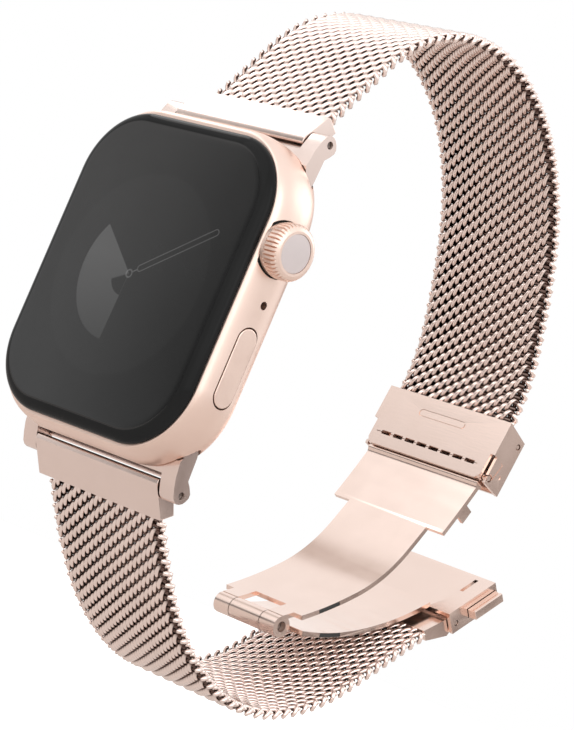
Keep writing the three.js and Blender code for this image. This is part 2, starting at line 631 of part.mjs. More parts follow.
function pusher(sign) {
  const { from, to, top, bottom, inner, proud } = PUSHER;
  const outer = END_BOX.halfX + proud;
  const [x0, x1] = sign > 0 ? [inner, outer] : [-outer, -inner];
  const [flange0, flange1] = sign > 0 ? [inner, inner + 0.6] : [-inner - 0.6, -inner];
  const groove = sign * (END_BOX.halfX + 0.9);
  const body = box(x0, x1, from, to, bottom, top);
  const flange = box(flange0, flange1, from - 0.6, to, bottom, top);
  return cut(join(body, flange), box(groove - 0.15, groove + 0.15, 0, 12, top - 0.2, top + 1));
}

// A zigzag leaf between the two pushers.
function pusherSpring() {
  const folds = 12;
  const reach = 9;
  const near = [];
  const far = [];
  for (let i = 0; i <= folds; i++) {
    const x = -reach + (2 * reach * i) / folds;
    const u = 4.3 + (i % 2 ? 0.6 : -0.6);
    near.push([x, u - 0.15]);
    far.unshift([x, u + 0.15]);
  }
  const ribbon = new THREE.ExtrudeGeometry(polygon([...near, ...far]), { ...flat, depth: 1 });
  return ribbon.translate(0, 0, -2.3);
}

function buildBlades() {
  add(watch, "middle_blade", middleBlade(), roseSteel);
  add(watch, "lower_blade", lowerBlade(), roseSteel);
  const reach = KNUCKLE.outerHalfX - 0.1;
  add(watch, "knuckle_pin", rodX(KNUCKLE.y, KNUCKLE.z, KNUCKLE.pinRadius, -reach, reach, 8), springSteel);
}

function buildEndBox() {
  const group = headedGroup(END_BOX.y, END_BOX.z, END_BOX.heading);
  const halfX = END_BOX.halfX - END_BOX.wall - GAP;
  const cover = box(-halfX, halfX, 2.7, END_BOX.length, -END_BOX.depth, 0.5 - END_BOX.depth);
  add(group, "end_box_cover", cover, roseSteel);
  add(group, "pusher_right", pusher(1), roseSteel);
  add(group, "pusher_left", pusher(-1), roseSteel);
  add(group, "pusher_spring", pusherSpring(), springSteel);
  const reach = END_BOX.halfX - 0.1;
  add(group, "end_link_pin", rodX(LINK_PIN.u, LINK_PIN.n, LINK_PIN.radius, -reach, reach, 6), springSteel);
}

// The wedge that grips the lower mesh and hooks on the end box's pin with room to spare.
function endLink() {
  const end = stationAt(LOWER_BAND, pathLength(LOWER_BAND));
  const pin = new THREE.Vector3(0, LINK_PIN.u, LINK_PIN.n).applyMatrix4(END_BOX_PLACE);
  const halfX = END_BOX.halfX - END_BOX.wall - GAP;
  const place = (u, n) => {
    const y = end.y + u * Math.cos(end.heading);
    const z = end.z + u * Math.sin(end.heading);
    return offset({ y, z, heading: end.heading }, n);
  };
  const wedge = polygon([
    place(0.2, 0.8), place(0.2, -0.8), place(1, -1.1), place(4.2, -2.2),
    place(5.6, -1.5), place(6, 0), place(4.6, 0.3),
  ]);
  const eye = rodX(pin.y, pin.z, LINK_PIN.eyeRadius, -halfX, halfX, 10);
  const bore = rodX(pin.y, pin.z, LINK_PIN.radius + LINK_PIN.clearance, -15, 15, 10);
  return cut(join(acrossX(wedge, halfX), eye), bore);
}

buildCase();
buildModules();
buildControls();
buildLugs();
buildBand("upper", UPPER_BAND);
buildBand("lower", LOWER_BAND);
buildClamp();
buildBlades();
buildEndBox();
add(watch, "end_link", endLink(), roseSteel);

export default watch;
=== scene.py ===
"""Looks of a smartwatch on a woven metal bracelet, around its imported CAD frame.

Shapes are drawn in millimetres and made into metres when they join the scene.
+X is the crown side, -Y looks out of the display and +Z points to twelve o'clock.
"""

import json
import math

import bmesh
import bpy
import numpy as np
from mathutils import Matrix, Vector

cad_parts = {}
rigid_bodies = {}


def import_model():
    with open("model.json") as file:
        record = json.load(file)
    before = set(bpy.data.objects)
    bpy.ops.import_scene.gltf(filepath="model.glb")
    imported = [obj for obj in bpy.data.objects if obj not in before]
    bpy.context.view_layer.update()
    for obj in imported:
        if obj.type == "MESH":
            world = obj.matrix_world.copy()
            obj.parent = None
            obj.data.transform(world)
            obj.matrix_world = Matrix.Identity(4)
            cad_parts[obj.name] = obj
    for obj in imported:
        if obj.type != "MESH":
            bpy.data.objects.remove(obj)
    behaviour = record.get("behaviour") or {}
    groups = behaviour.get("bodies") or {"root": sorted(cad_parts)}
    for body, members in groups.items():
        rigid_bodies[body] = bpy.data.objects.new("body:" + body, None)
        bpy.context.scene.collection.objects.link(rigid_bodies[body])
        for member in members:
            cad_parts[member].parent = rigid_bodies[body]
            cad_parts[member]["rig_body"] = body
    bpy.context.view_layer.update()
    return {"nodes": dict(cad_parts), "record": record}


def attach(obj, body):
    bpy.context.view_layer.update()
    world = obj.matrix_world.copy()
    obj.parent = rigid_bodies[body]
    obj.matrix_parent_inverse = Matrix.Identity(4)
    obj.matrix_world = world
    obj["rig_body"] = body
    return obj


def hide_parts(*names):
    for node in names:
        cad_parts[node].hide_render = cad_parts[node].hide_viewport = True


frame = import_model()
NODES = frame["nodes"]
SLOT_OF = {part["node"]: part["material_slot"] for part in frame["record"]["subparts"]}

# ---------------- driving dimensions, in mm

CASE = dict(half_x=19, half_z=22, corner=11, front=-9.3, back=-0.9, edge=3.2, inset=0.95,
            back_edge=4.6, back_inset=3.2, back_end=1.3)
GLASS = dict(half_x=17.85, half_z=20.7, corner=9.3, top=-10.7, bottom=-9.42, inset=1.7)
DIAL = dict(x=-0.17, z=-0.36, fan=9.0, fan_span=(143, 268), notch=3.0, notch_span=(205, 268),
            disc=13.5, minute=33.5)
CAVITY = dict(half_x=16.4, half_z=16.4, corner=6, front=-8.3, back=-2.2)
BACK_COVER = dict(half_x=14.7, half_z=14.1, corner=8, gap=0.15, front=-1.95, back=-0.95)
CRYSTAL = dict(radius=12, flat=8, rim=-0.9)
CROWN = dict(y=-6.2, z=8.5, radius=3.6, base=19.35, face=21.62, teeth=40, cap=2.45,
             recess=3.7, valley=0.34, seat_depth=1.1, shade_ring_depths=(1.08, 0.95))
BUTTON = dict(y=-5.5, z=-7.05, length=10.4, width=3.2, top=19.0, gap=0.2)
MIC_HOLE = dict(y=-5.3, z=1.4, radius=0.54)
RELEASE = dict(z=16.2, length=5, width=1.4, gap=0.15, front=-2.35, back=-0.95)
LUG_PIN = dict(y=-1.9, z=23.7, radius=0.45)
EAR = dict(inner=12.5, outer=15.2)
BAR_HALF_X = 12.3

WIRE = 0.33  # radius of the mesh wire
MESH = dict(half_x=10.95, turn=2.19, row=0.86, along=0.86, through=0.48, steps=12, hook=0.3, cross=0.3,
            start=-0.6)

SHEET = 0.66  # thickness of both blades
BLADE = dict(half_x=7.7, wide_half_x=10.87)
CLAMP = dict(half_x=11.95, wall=0.5, inner=-1.42, outer=3.2, length=9, hinge=(8.2, -0.1))
FLAP = dict(u=1.98, n=2.3, thickness=0.5, end=9.4)
TEETH = dict(count=8, pitch=2.38, half_x=0.9)
KNUCKLE = dict(y=33.5, z=-33.7, radius=1.5, bore=0.75, centre=3, outer=6.1)
CATCH = dict(x=9, thickness=0.5, start=2.2, length=2.1, reach=3.2,
             slot=(5.4, 8.7), slot_half_x=0.31)
END_BOX = dict(half_x=11.8, wall=0.6, length=9.6, depth=3.3)
LINK_PIN = dict(u=0.99, n=-1.98, eye=1.02, radius=0.33, bore=0.66)
PUSHER = dict(start=3.5, end=9.2, top=-1.1, bottom=-2.4, inner=10.3, proud=1.5)


class Path:
    """A chain of arcs in the Y-Z plane: [length, turn in degrees] after its start and heading."""

    def __init__(self, y, z, heading, arcs):
        self.start = (y, z, math.radians(heading))
        self.arcs = [(length, math.radians(turn)) for length, turn in arcs]
        self.length = sum(length for length, turn in arcs)

    def at(self, distance):
        y, z, heading = self.start
        left = distance
        for index, (length, turn) in enumerate(self.arcs):
            travel = left if index == len(self.arcs) - 1 else min(left, length)
            bend = turn * travel / length
            chord = 2 * travel * math.sin(bend / 2) / bend if abs(bend) > 1e-6 else travel
            y += chord * math.cos(heading + bend / 2)
            z += chord * math.sin(heading + bend / 2)
            heading += bend
            left -= travel
            if left <= 0:
                break
        return y, z, heading

    def offset(self, distance, away):
        y, z, heading = self.at(distance)
        return y - away * math.sin(heading), z + away * math.cos(heading)

    def strip(self, start, end, low, high, step=0.6):
        count = max(1, math.ceil((end - start) / step))
        marks = [start + (end - start) * i / count for i in range(count + 1)]
        near = [self.offset(mark, low) for mark in marks]
        far = [self.offset(mark, high) for mark in reversed(marks)]
        return near + far


UPPER_BAND = Path(0.35, 26.85, 61.3, [
    (12, -0.5), (14.5, -40.5), (14.5, -37.5), (14.3, -29), (14.5, -21), (13.2, -8), (10.5, -23)])
LOWER_BAND = Path(0.35, -26.85, -54.8, [
    (13.7, 11.5), (13.8, 23.5), (13.9, 39), (13.8, 27), (13.7, -1.5)])
MIDDLE_BLADE = Path(54.5, -5.25, 251.1, [(13.35, -6), (10.25, -25.8), (12.3, -10.7)])
LOWER_LEAF = Path(34.9, -33.6, 7.7, [(12.8, 17.7), (12.85, 14.9)])


def line_after(path):
    """The straight line that goes on from the end of a path."""
    y, z, heading = path.at(path.length)
    return Path(y, z, math.degrees(heading), [(20, 0)])


CLAMP_LINE = line_after(UPPER_BAND)
LINK_LINE = line_after(LOWER_BAND)
BOX_LINE = Path(58.1, -23, 45, [(20, 0)])
CROWN_CENTRE = (CROWN["y"], CROWN["z"])
KNUCKLE_PIN = (KNUCKLE["y"], KNUCKLE["z"])
HINGE_PIN = CLAMP_LINE.offset(*CLAMP["hinge"])
FLAP_PIN = CLAMP_LINE.offset(FLAP["u"], FLAP["n"])
LINK_CENTRE = BOX_LINE.offset(LINK_PIN["u"], LINK_PIN["n"])

# ---------------- solids


def new_object(name, vertices, faces):
    mesh = bpy.data.meshes.new(name)
    mesh.from_pydata([tuple(v) for v in vertices], [], faces)
    mesh.validate()
    shell = bmesh.new()
    shell.from_mesh(mesh)
    bmesh.ops.recalc_face_normals(shell, faces=shell.faces)
    shell.to_mesh(mesh)
    shell.free()
    piece = bpy.data.objects.new(name, mesh)
    bpy.context.scene.collection.objects.link(piece)
    return piece


def stacked(name, rings):
    """Joins closed rings of points, each to the next, and caps both ends."""
    count = len(rings[0])
    vertices = [point for ring in rings for point in ring]
    faces = []
    for level in range(len(rings) - 1):
        for i in range(count):
            j = (i + 1) % count
            a, b = level * count, (level + 1) * count
            faces.append((a + i, a + j, b + j, b + i))
    faces.append(tuple(range(count)))
    faces.append(tuple((len(rings) - 1) * count + i for i in range(count)))
    return new_object(name, vertices, faces)


def prism_x(name, outline, x0, x1):
    return stacked(name, [[(x, y, z) for y, z in outline] for x in (x0, x1)])


def prism_y(name, outline, y0, y1):
    return stacked(name, [[(x, y, z) for x, z in outline] for y in (y0, y1)])


def box_on(name, line, x0, x1, u0, u1, n0, n1):
    """A box in the frame of a line: u along it and n square to it."""
    corners = [line.offset(u0, n0), line.offset(u1, n0), line.offset(u1, n1), line.offset(u0, n1)]
    return prism_x(name, corners, x0, x1)


def prism_n(name, line, outline, n0, n1):
    """An (x, u) outline on a line, made solid from n0 to n1 off it."""
    return stacked(name, [[(x, *line.offset(u, n)) for x, u in outline] for n in (n0, n1)])


def on_line(line, points):
    return [line.offset(u, n) for u, n in points]


def round_outline(half_a, half_b, corner, per_corner=14, a=0, b=0):
    points = []
    for sign_a, sign_b, quarter in ((1, 1, 0), (-1, 1, 1), (-1, -1, 2), (1, -1, 3)):
        for i in range(per_corner + 1):
            angle = (quarter + i / per_corner) * math.pi / 2
            points.append((
                a + sign_a * (half_a - corner) + corner * math.cos(angle),
                b + sign_b * (half_b - corner) + corner * math.sin(angle)))
    return points


def circle(a, b, radius, count=48):
    turns = [2 * math.pi * i / count for i in range(count)]
    return [(a + radius * math.cos(t), b + radius * math.sin(t)) for t in turns]


def through(y, z, radius, reach=15, count=24):
    """A round tool along X that passes right through a piece."""
    return prism_x("bore", circle(y, z, radius, count), -reach, reach)


def pillow(name, outline_at, levels):
    """outline_at(inset) gives an X-Z outline; levels are (y, inset) from front to back."""
    return stacked(name, [[(x, y, z) for x, z in outline_at(inset)] for y, inset in levels])


def turned(name, profile, centre, axis, count=64):
    """Rings of (height, radius) about an axis through centre."""
    rings = []
    for height, radius in profile:
        ring = []
        for i in range(count):
            angle = 2 * math.pi * i / count
            a, b = radius * math.cos(angle), radius * math.sin(angle)
            ring.append((height, centre[0] + a, centre[1] + b) if axis == "X" else (a, height, b))
        rings.append(ring)
    return stacked(name, rings)


def applied(piece):
    """Makes a piece's modifiers part of its mesh."""
    bpy.context.view_layer.update()
    graph = bpy.context.evaluated_depsgraph_get()
    mesh = bpy.data.meshes.new_from_object(piece.evaluated_get(graph))
    piece.modifiers.clear()
    piece.data = mesh
    return piece


def boolean(piece, operation, tools):
    for tool in tools:
        modifier = piece.modifiers.new(operation, "BOOLEAN")
        modifier.operation = operation
        modifier.solver = "EXACT"
        modifier.object = tool
    applied(piece)
    for tool in tools:
        bpy.data.objects.remove(tool)
    return piece


def cut(piece, *tools):
    return boolean(piece, "DIFFERENCE", tools)


def join(piece, *others):
    return boolean(piece, "UNION", others)


def soften(piece, width=0.12, segments=2, angle=32):
    """Rounds the sharp edges and shades the rest smoothly."""
    bevel = piece.modifiers.new("edge", "BEVEL")
    bevel.width = width
    bevel.segments = segments
    bevel.limit_method = "ANGLE"
    bevel.angle_limit = math.radians(angle)
    bevel.miter_outer = "MITER_ARC"
    return smooth(applied(piece))


def smooth(piece, angle=38):
    piece.data.shade_smooth()
    piece.data.set_sharp_from_angle(angle=math.radians(angle))
    weighted = piece.modifiers.new("normals", "WEIGHTED_NORMAL")
    weighted.keep_sharp = True
    return applied(piece)


def place(piece, name, material, *nodes, body=None):
    """Names a finished piece, puts it in metres and lets it stand for its CAD nodes."""
    piece.name = name
    piece.data.transform(Matrix.Scale(0.001, 4))
    piece.data.materials.clear()
    piece.data.materials.append(material)
    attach(piece, body or NODES[nodes[0]]["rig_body"])
    if nodes:
        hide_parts(*nodes)
    return piece


# ---------------- materials


def shader(name):
    material = bpy.data.materials.new(name)
    material.use_nodes = True
    tree = material.node_tree
    return material, tree, tree.nodes["Principled BSDF"]


def node(tree, kind, **values):
    made = tree.nodes.new(kind)
    for key, value in values.items():
        setattr(made, key, value)
    return made


def noise(tree, scale, detail=4.0, stretch=(1, 1, 1)):
    """Noise in real size: scale is in features per metre."""
    place_node = node(tree, "ShaderNodeTexCoord")
    mapping = node(tree, "ShaderNodeMapping")
    mapping.inputs["Scale"].default_value = stretch
    texture = node(tree, "ShaderNodeTexNoise")
    texture.inputs["Scale"].default_value = scale
    texture.inputs["Detail"].default_value = detail
    tree.links.new(place_node.outputs["Object"], mapping.inputs["Vector"])
    tree.links.new(mapping.outputs["Vector"], texture.inputs["Vector"])
    return texture.outputs["Fac"]


def ranged(tree, value, source, target=(0, 1), kind="LINEAR"):
    """Maps a value from one span onto another and holds it at the ends."""
    span = node(tree, "ShaderNodeMapRange", interpolation_type=kind)
    for name, number in zip(("From Min", "From Max", "To Min", "To Max"), (*source, *target)):
        span.inputs[name].default_value = number
    tree.links.new(value, span.inputs["Value"])
    return span.outputs["Result"]


def spread(tree, value, low, high):
    """Maps noise, which mostly lies between 0.3 and 0.7, onto low to high."""
    return ranged(tree, value, (0.3, 0.7), (low, high))


def math_node(tree, operation, *values):
    made = node(tree, "ShaderNodeMath", operation=operation)
    for socket, value in zip(made.inputs, values):
        if isinstance(value, (int, float)):
            socket.default_value = value
        else:
            tree.links.new(value, socket)
    return made.outputs[0]


def tinted(tree, value, dark, light):
    mix = node(tree, "ShaderNodeMix", data_type="RGBA")
    mix.inputs["A"].default_value = (*dark, 1)
    mix.inputs["B"].default_value = (*light, 1)
    tree.links.new(spread(tree, value, 0, 1), mix.inputs["Factor"])
    return mix.outputs["Result"]


def add_relief(tree, principled, height, strength):
    bump = node(tree, "ShaderNodeBump")
    bump.inputs["Strength"].default_value = strength
    bump.inputs["Distance"].default_value = 0.00005
    tree.links.new(height, bump.inputs["Height"])
    tree.links.new(bump.outputs["Normal"], principled.inputs["Normal"])


def surface(name, dark, light, roughness, metallic=0.0, grain=6000, relief=0.02, stretch=(1, 1, 1)):
    """A finish whose colour, gloss and fine relief all vary over the real surface."""
    material, tree, principled = shader(name)
    patches = noise(tree, 220)
    tree.links.new(tinted(tree, patches, dark, light), principled.inputs["Base Color"])
    tree.links.new(spread(tree, patches, *roughness), principled.inputs["Roughness"])
    principled.inputs["Metallic"].default_value = metallic
    add_relief(tree, principled, noise(tree, grain, 3.0, stretch), relief)
    return material


BRUSHED = (0.08, 1, 1)
FINISHES = {  # dark and light colour, span of roughness, how metallic, grain per metre, relief, stretch
    "case_aluminium": ((0.90, 0.70, 0.61), (0.93, 0.74, 0.65), (0.36, 0.42), 1.0, 9000, 0.12),
    "clasp_steel": ((0.89, 0.71, 0.63), (0.92, 0.74, 0.66), (0.17, 0.21), 1.0, 5000, 0.05, BRUSHED),
    "lug_steel": ((0.84, 0.69, 0.63), (0.87, 0.72, 0.66), (0.17, 0.23), 1.0, 5000, 0.06, BRUSHED),
    "spring_steel": ((0.16, 0.14, 0.13), (0.22, 0.2, 0.19), (0.3, 0.45), 1.0),
    "crown_cap_metal": ((0.66, 0.59, 0.58), (0.70, 0.62, 0.61), (0.36, 0.42), 0.75, 12000, 0.08),
    # Also the colour of the black ring in the crown recess, which is painted shade.
    "seal_rubber": ((0.012, 0.012, 0.012), (0.02, 0.02, 0.02), (0.7, 0.85)),
    "display": ((0.01, 0.01, 0.011), (0.02, 0.02, 0.021), (0.2, 0.3)),
    "case_back": ((0.70, 0.58, 0.52), (0.76, 0.64, 0.58), (0.18, 0.3), 0.4, 8000),
    "circuit_board": ((0.02, 0.09, 0.04), (0.03, 0.14, 0.07), (0.4, 0.6)),
    "coil_copper": ((0.6, 0.28, 0.13), (0.75, 0.4, 0.22), (0.3, 0.45), 1.0, 6000, 0.02, (1, 30, 1)),
    "battery_foil": ((0.03, 0.03, 0.035), (0.05, 0.05, 0.055), (0.35, 0.6)),
    "black_plastic": ((0.012, 0.012, 0.012), (0.022, 0.022, 0.022), (0.4, 0.6)),
    "sensor_crystal": ((0.008, 0.008, 0.012), (0.02, 0.018, 0.022), (0.03, 0.07)),
}
MATERIALS = {slot: surface(slot, *finish) for slot, finish in FINISHES.items()}


def woven_wire(name, deep, crest):
    """Plated wire with painted light in its base colour: a painted highlight, the crest colour brightened on
    the crests of the band's faces, and painted shade, dull brown deep inside the weave where the wires shade
    each other.
    """
    material, tree, principled = shader(name)
    height = node(tree, "ShaderNodeAttribute", attribute_name="crest").outputs["Fac"]
    # Painted shade and painted highlight: the crest mask mixes the dark brown deep colour with the bright
    # crest colour.
    mix = node(tree, "ShaderNodeMix", data_type="RGBA")
    mix.inputs["A"].default_value = (*deep, 1)
    tree.links.new(ranged(tree, height, (0.25, 0.75), kind="SMOOTHSTEP"), mix.inputs["Factor"])
    patches = noise(tree, 220)
    tree.links.new(tinted(tree, patches, tuple(0.93 * c for c in crest), crest), mix.inputs["B"])
    tree.links.new(mix.outputs["Result"], principled.inputs["Base Color"])
    tree.links.new(spread(tree, patches, 0.16, 0.26), principled.inputs["Roughness"])
    principled.inputs["Metallic"].default_value = 1.0
    add_relief(tree, principled, noise(tree, 6000), 0.05)
    return material


class DialDrawing:
    """Flat shapes about the dial's hub, in mm: each is a value of 1 that fades to 0 at its edge."""

    def __init__(self, tree, x, z):
        self.tree = tree
        self.x = self.math("MULTIPLY_ADD", x, 1000.0, -DIAL["x"])
        self.z = self.math("MULTIPLY_ADD", z, 1000.0, -DIAL["z"])
        self.reach = self.length(self.x, self.z)

    def math(self, operation, *values):
        return math_node(self.tree, operation, *values)

    def length(self, a, b):
        squares = (self.math("MULTIPLY", side, side) for side in (a, b))
        return self.math("SQRT", self.math("ADD", *squares))

    def held(self, value):
        """Keeps a value between 0 and 1."""
        made = node(self.tree, "ShaderNodeClamp")
        self.tree.links.new(value, made.inputs["Value"])
        return made.outputs["Result"]

    def below(self, value, limit, soft):
        """1 where value is under limit, fading over soft."""
        return self.held(self.math("MULTIPLY_ADD", self.math("SUBTRACT", limit, value), 1 / soft, 0.5))

    def near(self, value, middle, half, soft):
        """1 where value is within half of middle."""
        return self.below(self.math("ABSOLUTE", self.math("SUBTRACT", value, middle)), half, soft)

    def toward(self, degrees):
        """How far a point lies from the hub in one direction."""
        turn = math.radians(degrees)
        return self.math("ADD", self.math("MULTIPLY", self.x, math.cos(turn)),
                         self.math("MULTIPLY", self.z, math.sin(turn)))

    def disc(self, radius, soft):
        return self.below(self.reach, radius, soft)

    def capsule(self, start, end, half):
        """The outline of a rounded bar on the line of the hand."""
        along = self.toward(DIAL["minute"])
        held = self.math("MAXIMUM", start, self.math("MINIMUM", along, end))
        distance = self.length(self.math("SUBTRACT", along, held), self.toward(DIAL["minute"] - 90))
        return self.near(distance, half, 0.06, 0.09)

    def wedge(self, radius, first, last):
        """A slice of a disc between two angles."""
        side = self.math("MULTIPLY", self.reach, math.cos(math.radians((last - first) / 2)))
        inside = self.below(side, self.toward((first + last) / 2), 0.12)
        return self.math("MULTIPLY", self.disc(radius, 0.15), inside)

    def fan(self):
        """A fan with a notch at the hub, dimmer towards six o'clock."""
        fade = self.held(self.math("MULTIPLY_ADD", self.z, 0.055, 0.9))
        whole = self.math("MULTIPLY", self.wedge(DIAL["fan"], *DIAL["fan_span"]), fade)
        notch = self.wedge(DIAL["notch"], *DIAL["notch_span"])
        return self.math("MULTIPLY", whole, self.math("SUBTRACT", 1.0, notch))

    def marks(self):
        """The hub and the outlined hand with its stem."""
        hand = self.math("MAXIMUM", self.capsule(1.85, 14.4, 0.42), self.capsule(0.6, 1.4, 0.03))
        return self.math("MAXIMUM", self.near(self.reach, 0.5, 0.1, 0.1), hand)


def dial_material():
    """Black cover glass over a dim dial: a faint disc, a notched fan, a hub and one outlined hand."""
    material, tree, principled = shader("black_glass")
    split = node(tree, "ShaderNodeSeparateXYZ")
    tree.links.new(node(tree, "ShaderNodeTexCoord").outputs["Object"], split.inputs["Vector"])
    dial = DialDrawing(tree, split.outputs["X"], split.outputs["Z"])
    glow = spread(tree, noise(tree, 60), 0.0, 0.004)
    for shape, strength in ((dial.disc(DIAL["disc"], 0.3), 0.003), (dial.fan(), 0.05), (dial.marks(), 0.06)):
        glow = math_node(tree, "MULTIPLY_ADD", shape, strength, glow)
    glow = math_node(tree, "ADD", glow, 0.011)
    shade = node(tree, "ShaderNodeCombineColor")
    for channel in ("Red", "Green", "Blue"):
        tree.links.new(glow, shade.inputs[channel])
    tree.links.new(shade.outputs["Color"], principled.inputs["Base Color"])
    tree.links.new(spread(tree, noise(tree, 900, 5.0), 0.03, 0.07), principled.inputs["Roughness"])
    height = math_node(tree, "MULTIPLY", split.outputs["Y"], 1000.0)
    rim = (GLASS["top"] + 0.001, GLASS["top"] + 0.03)
    gloss = ranged(tree, height, rim, (0.44, 0.06), "SMOOTHSTEP")
    tree.links.new(gloss, principled.inputs["Specular IOR Level"])
    return material


MATERIALS["black_glass"] = dial_material()
# Dark brown painted shade deep in the weave, and a crest colour brightened as painted highlight.
MATERIALS["mesh_steel"] = woven_wire("mesh_steel", (0.11, 0.066, 0.054), (1.0, 0.85, 0.79))
CASE_METAL = MATERIALS["case_aluminium"]
MESH_METAL = MATERIALS["mesh_steel"]
CLASP_METAL = MATERIALS["clasp_steel"]
LUG_METAL = MATERIALS["lug_steel"]

# ---------------- case

CHANNEL = [(-4.5, 19.9), (-3.4, 17.85), (-3.0, 17.62), (-2.2, 17.58), (-1.85, 18), (-1.6, 24), (-4.5, 24)]


def mirrored(outline, side):
    return [(y, side * z) for y, z in outline]


def quarter(depth, inset, steps):
    """(run, inset) pairs along a quarter ellipse, from deep inside to the face."""
    return [(depth * (1 - math.sin(a)), inset * (1 - math.cos(a)))
            for a in (math.pi / 2 * i / steps for i in range(steps + 1))]


def case_form(name, skin=0.0):
    """The outside of the case, drawn in by skin; its long sides are rounder at the back than its ends."""
    def outline(drawn):
        side, end = drawn
        return round_outline(CASE["half_x"] - side - skin, CASE["half_z"] - end - skin,
                             CASE["corner"] - (side + end) / 2 - skin, 24)

    front_curve = reversed(quarter(CASE["edge"], CASE["inset"], 12))
    levels = [(CASE["front"] + run, (drawn, drawn)) for run, drawn in front_curve]
    for run, drawn in quarter(CASE["back_edge"], CASE["back_inset"], 14):
        levels.append((CASE["back"] - run, (drawn, drawn * CASE["back_end"] / CASE["back_inset"])))
    return pillow(name, outline, levels)


def case_shell():
    shell = case_form("case")
    seat = round_outline(GLASS["half_x"] - 0.5, GLASS["half_z"] - 0.5, GLASS["corner"] - 0.5)
    cavity = round_outline(CAVITY["half_x"], CAVITY["half_z"], CAVITY["corner"])
    gap = BACK_COVER["gap"]
    mouth = round_outline(BACK_COVER["half_x"] + gap, BACK_COVER["half_z"] + gap, BACK_COVER["corner"])
    half_width = BUTTON["width"] / 2 + BUTTON["gap"]
    half_length = BUTTON["length"] / 2 + BUTTON["gap"]
    button_hole = round_outline(half_width, half_length, half_width - 0.01, 12, BUTTON["y"], BUTTON["z"])
    tools = [
        prism_y("seat", seat, -11, CASE["front"] + 1),
        prism_y("cavity", cavity, -9, CAVITY["back"]),
        prism_y("mouth", mouth, CAVITY["back"] - 0.1, 0),
        prism_x("crown_hole", crown_seat_outline(CROWN["recess"]), CROWN["base"] - CROWN["seat_depth"], 20),
        prism_x("stem_hole", circle(*CROWN_CENTRE, 2.3, 32), 15, 20),
        prism_x("button_hole", button_hole, 15, 20),
        prism_x("mic_hole", circle(MIC_HOLE["y"], MIC_HOLE["z"], MIC_HOLE["radius"], 24), 15, 20),
    ]
    for z in (-4.5, -9.5):
        tools.append(prism_x("speaker", round_outline(0.45, 1.8, 0.44, 8, CROWN["y"], z), -20, -15))
    for side in (1, -1):
        tools.append(prism_x("channel", mirrored(CHANNEL, side), -20, 20))
        half = RELEASE["width"] / 2 + RELEASE["gap"]
        half_length = RELEASE["length"] / 2 + RELEASE["gap"]
        hole = round_outline(half_length, half, half - 0.01, 8, 0, side * RELEASE["z"])
        tools.append(prism_y("release", hole, CASE["back"] - 2.1, 0))
    return smooth(cut(shell, *tools), 30)


def cover_glass():
    def outline(inset):
        return round_outline(GLASS["half_x"] - inset, GLASS["half_z"] - inset, GLASS["corner"] - inset, 24)

    depth = GLASS["bottom"] - GLASS["top"]
    levels = [(GLASS["top"], GLASS["inset"] + 0.6)]
    levels += [(GLASS["top"] + run, drawn) for run, drawn in reversed(quarter(depth, GLASS["inset"], 12))]
    return smooth(pillow("glass", outline, levels), 60)


def rounded_slab(name, outline_at, front, back, edge):
    """A slab with both faces rounded over by edge."""
    curve = quarter(edge, edge, 4)
    levels = [(front + run, drawn) for run, drawn in reversed(curve)]
    levels += [(back - run, drawn) for run, drawn in curve]
    return smooth(pillow(name, outline_at, levels), 50)


def build_case():
    place(case_shell(), "case_body", CASE_METAL, "case_shell")
    place(cover_glass(), "cover_glass", MATERIALS["black_glass"], "front_glass")

    cover_outline = round_outline(BACK_COVER["half_x"], BACK_COVER["half_z"], BACK_COVER["corner"])
    cover = prism_y("cover", cover_outline, BACK_COVER["front"], BACK_COVER["back"])
    cover = cut(cover, prism_y("mouth", circle(0, 0, CRYSTAL["radius"] + 0.12, 72), -5, 5))
    place(soften(cover, 0.15), "back_plate", MATERIALS["case_back"], "back_cover")

    profile = [(-2, CRYSTAL["radius"]), (CRYSTAL["rim"], CRYSTAL["radius"])]
    for i in range(1, 13):
        angle = math.pi / 2 * i / 12
        radius = CRYSTAL["flat"] + (CRYSTAL["radius"] - CRYSTAL["flat"]) * math.cos(angle)
        profile.append((CRYSTAL["rim"] * (1 - math.sin(angle)), radius))
    dome = smooth(turned("dome", profile, (0, 0), "Y", 96), 50)
    place(dome, "sensor_dome", MATERIALS["sensor_crystal"], "sensor_crystal")

    for name, side in (("upper", 1), ("lower", -1)):
        def outline(inset, side=side):
            half = RELEASE["width"] / 2 - inset
            return round_outline(RELEASE["length"] / 2 - inset, half, half - 0.01, 8, 0, side * RELEASE["z"])

        button = rounded_slab("release", outline, RELEASE["front"], RELEASE["back"], 0.15)
        place(button, f"{name}_release", CASE_METAL, f"{name}_release_button")


# ---------------- crown and side button


def crown_seat_outline(radius):
    """A circle round the crown, cut off straight where the rounded front edge of the case begins."""
    return [(max(y, CASE["front"] + 0.4), z) for y, z in circle(*CROWN_CENTRE, radius, 72)]


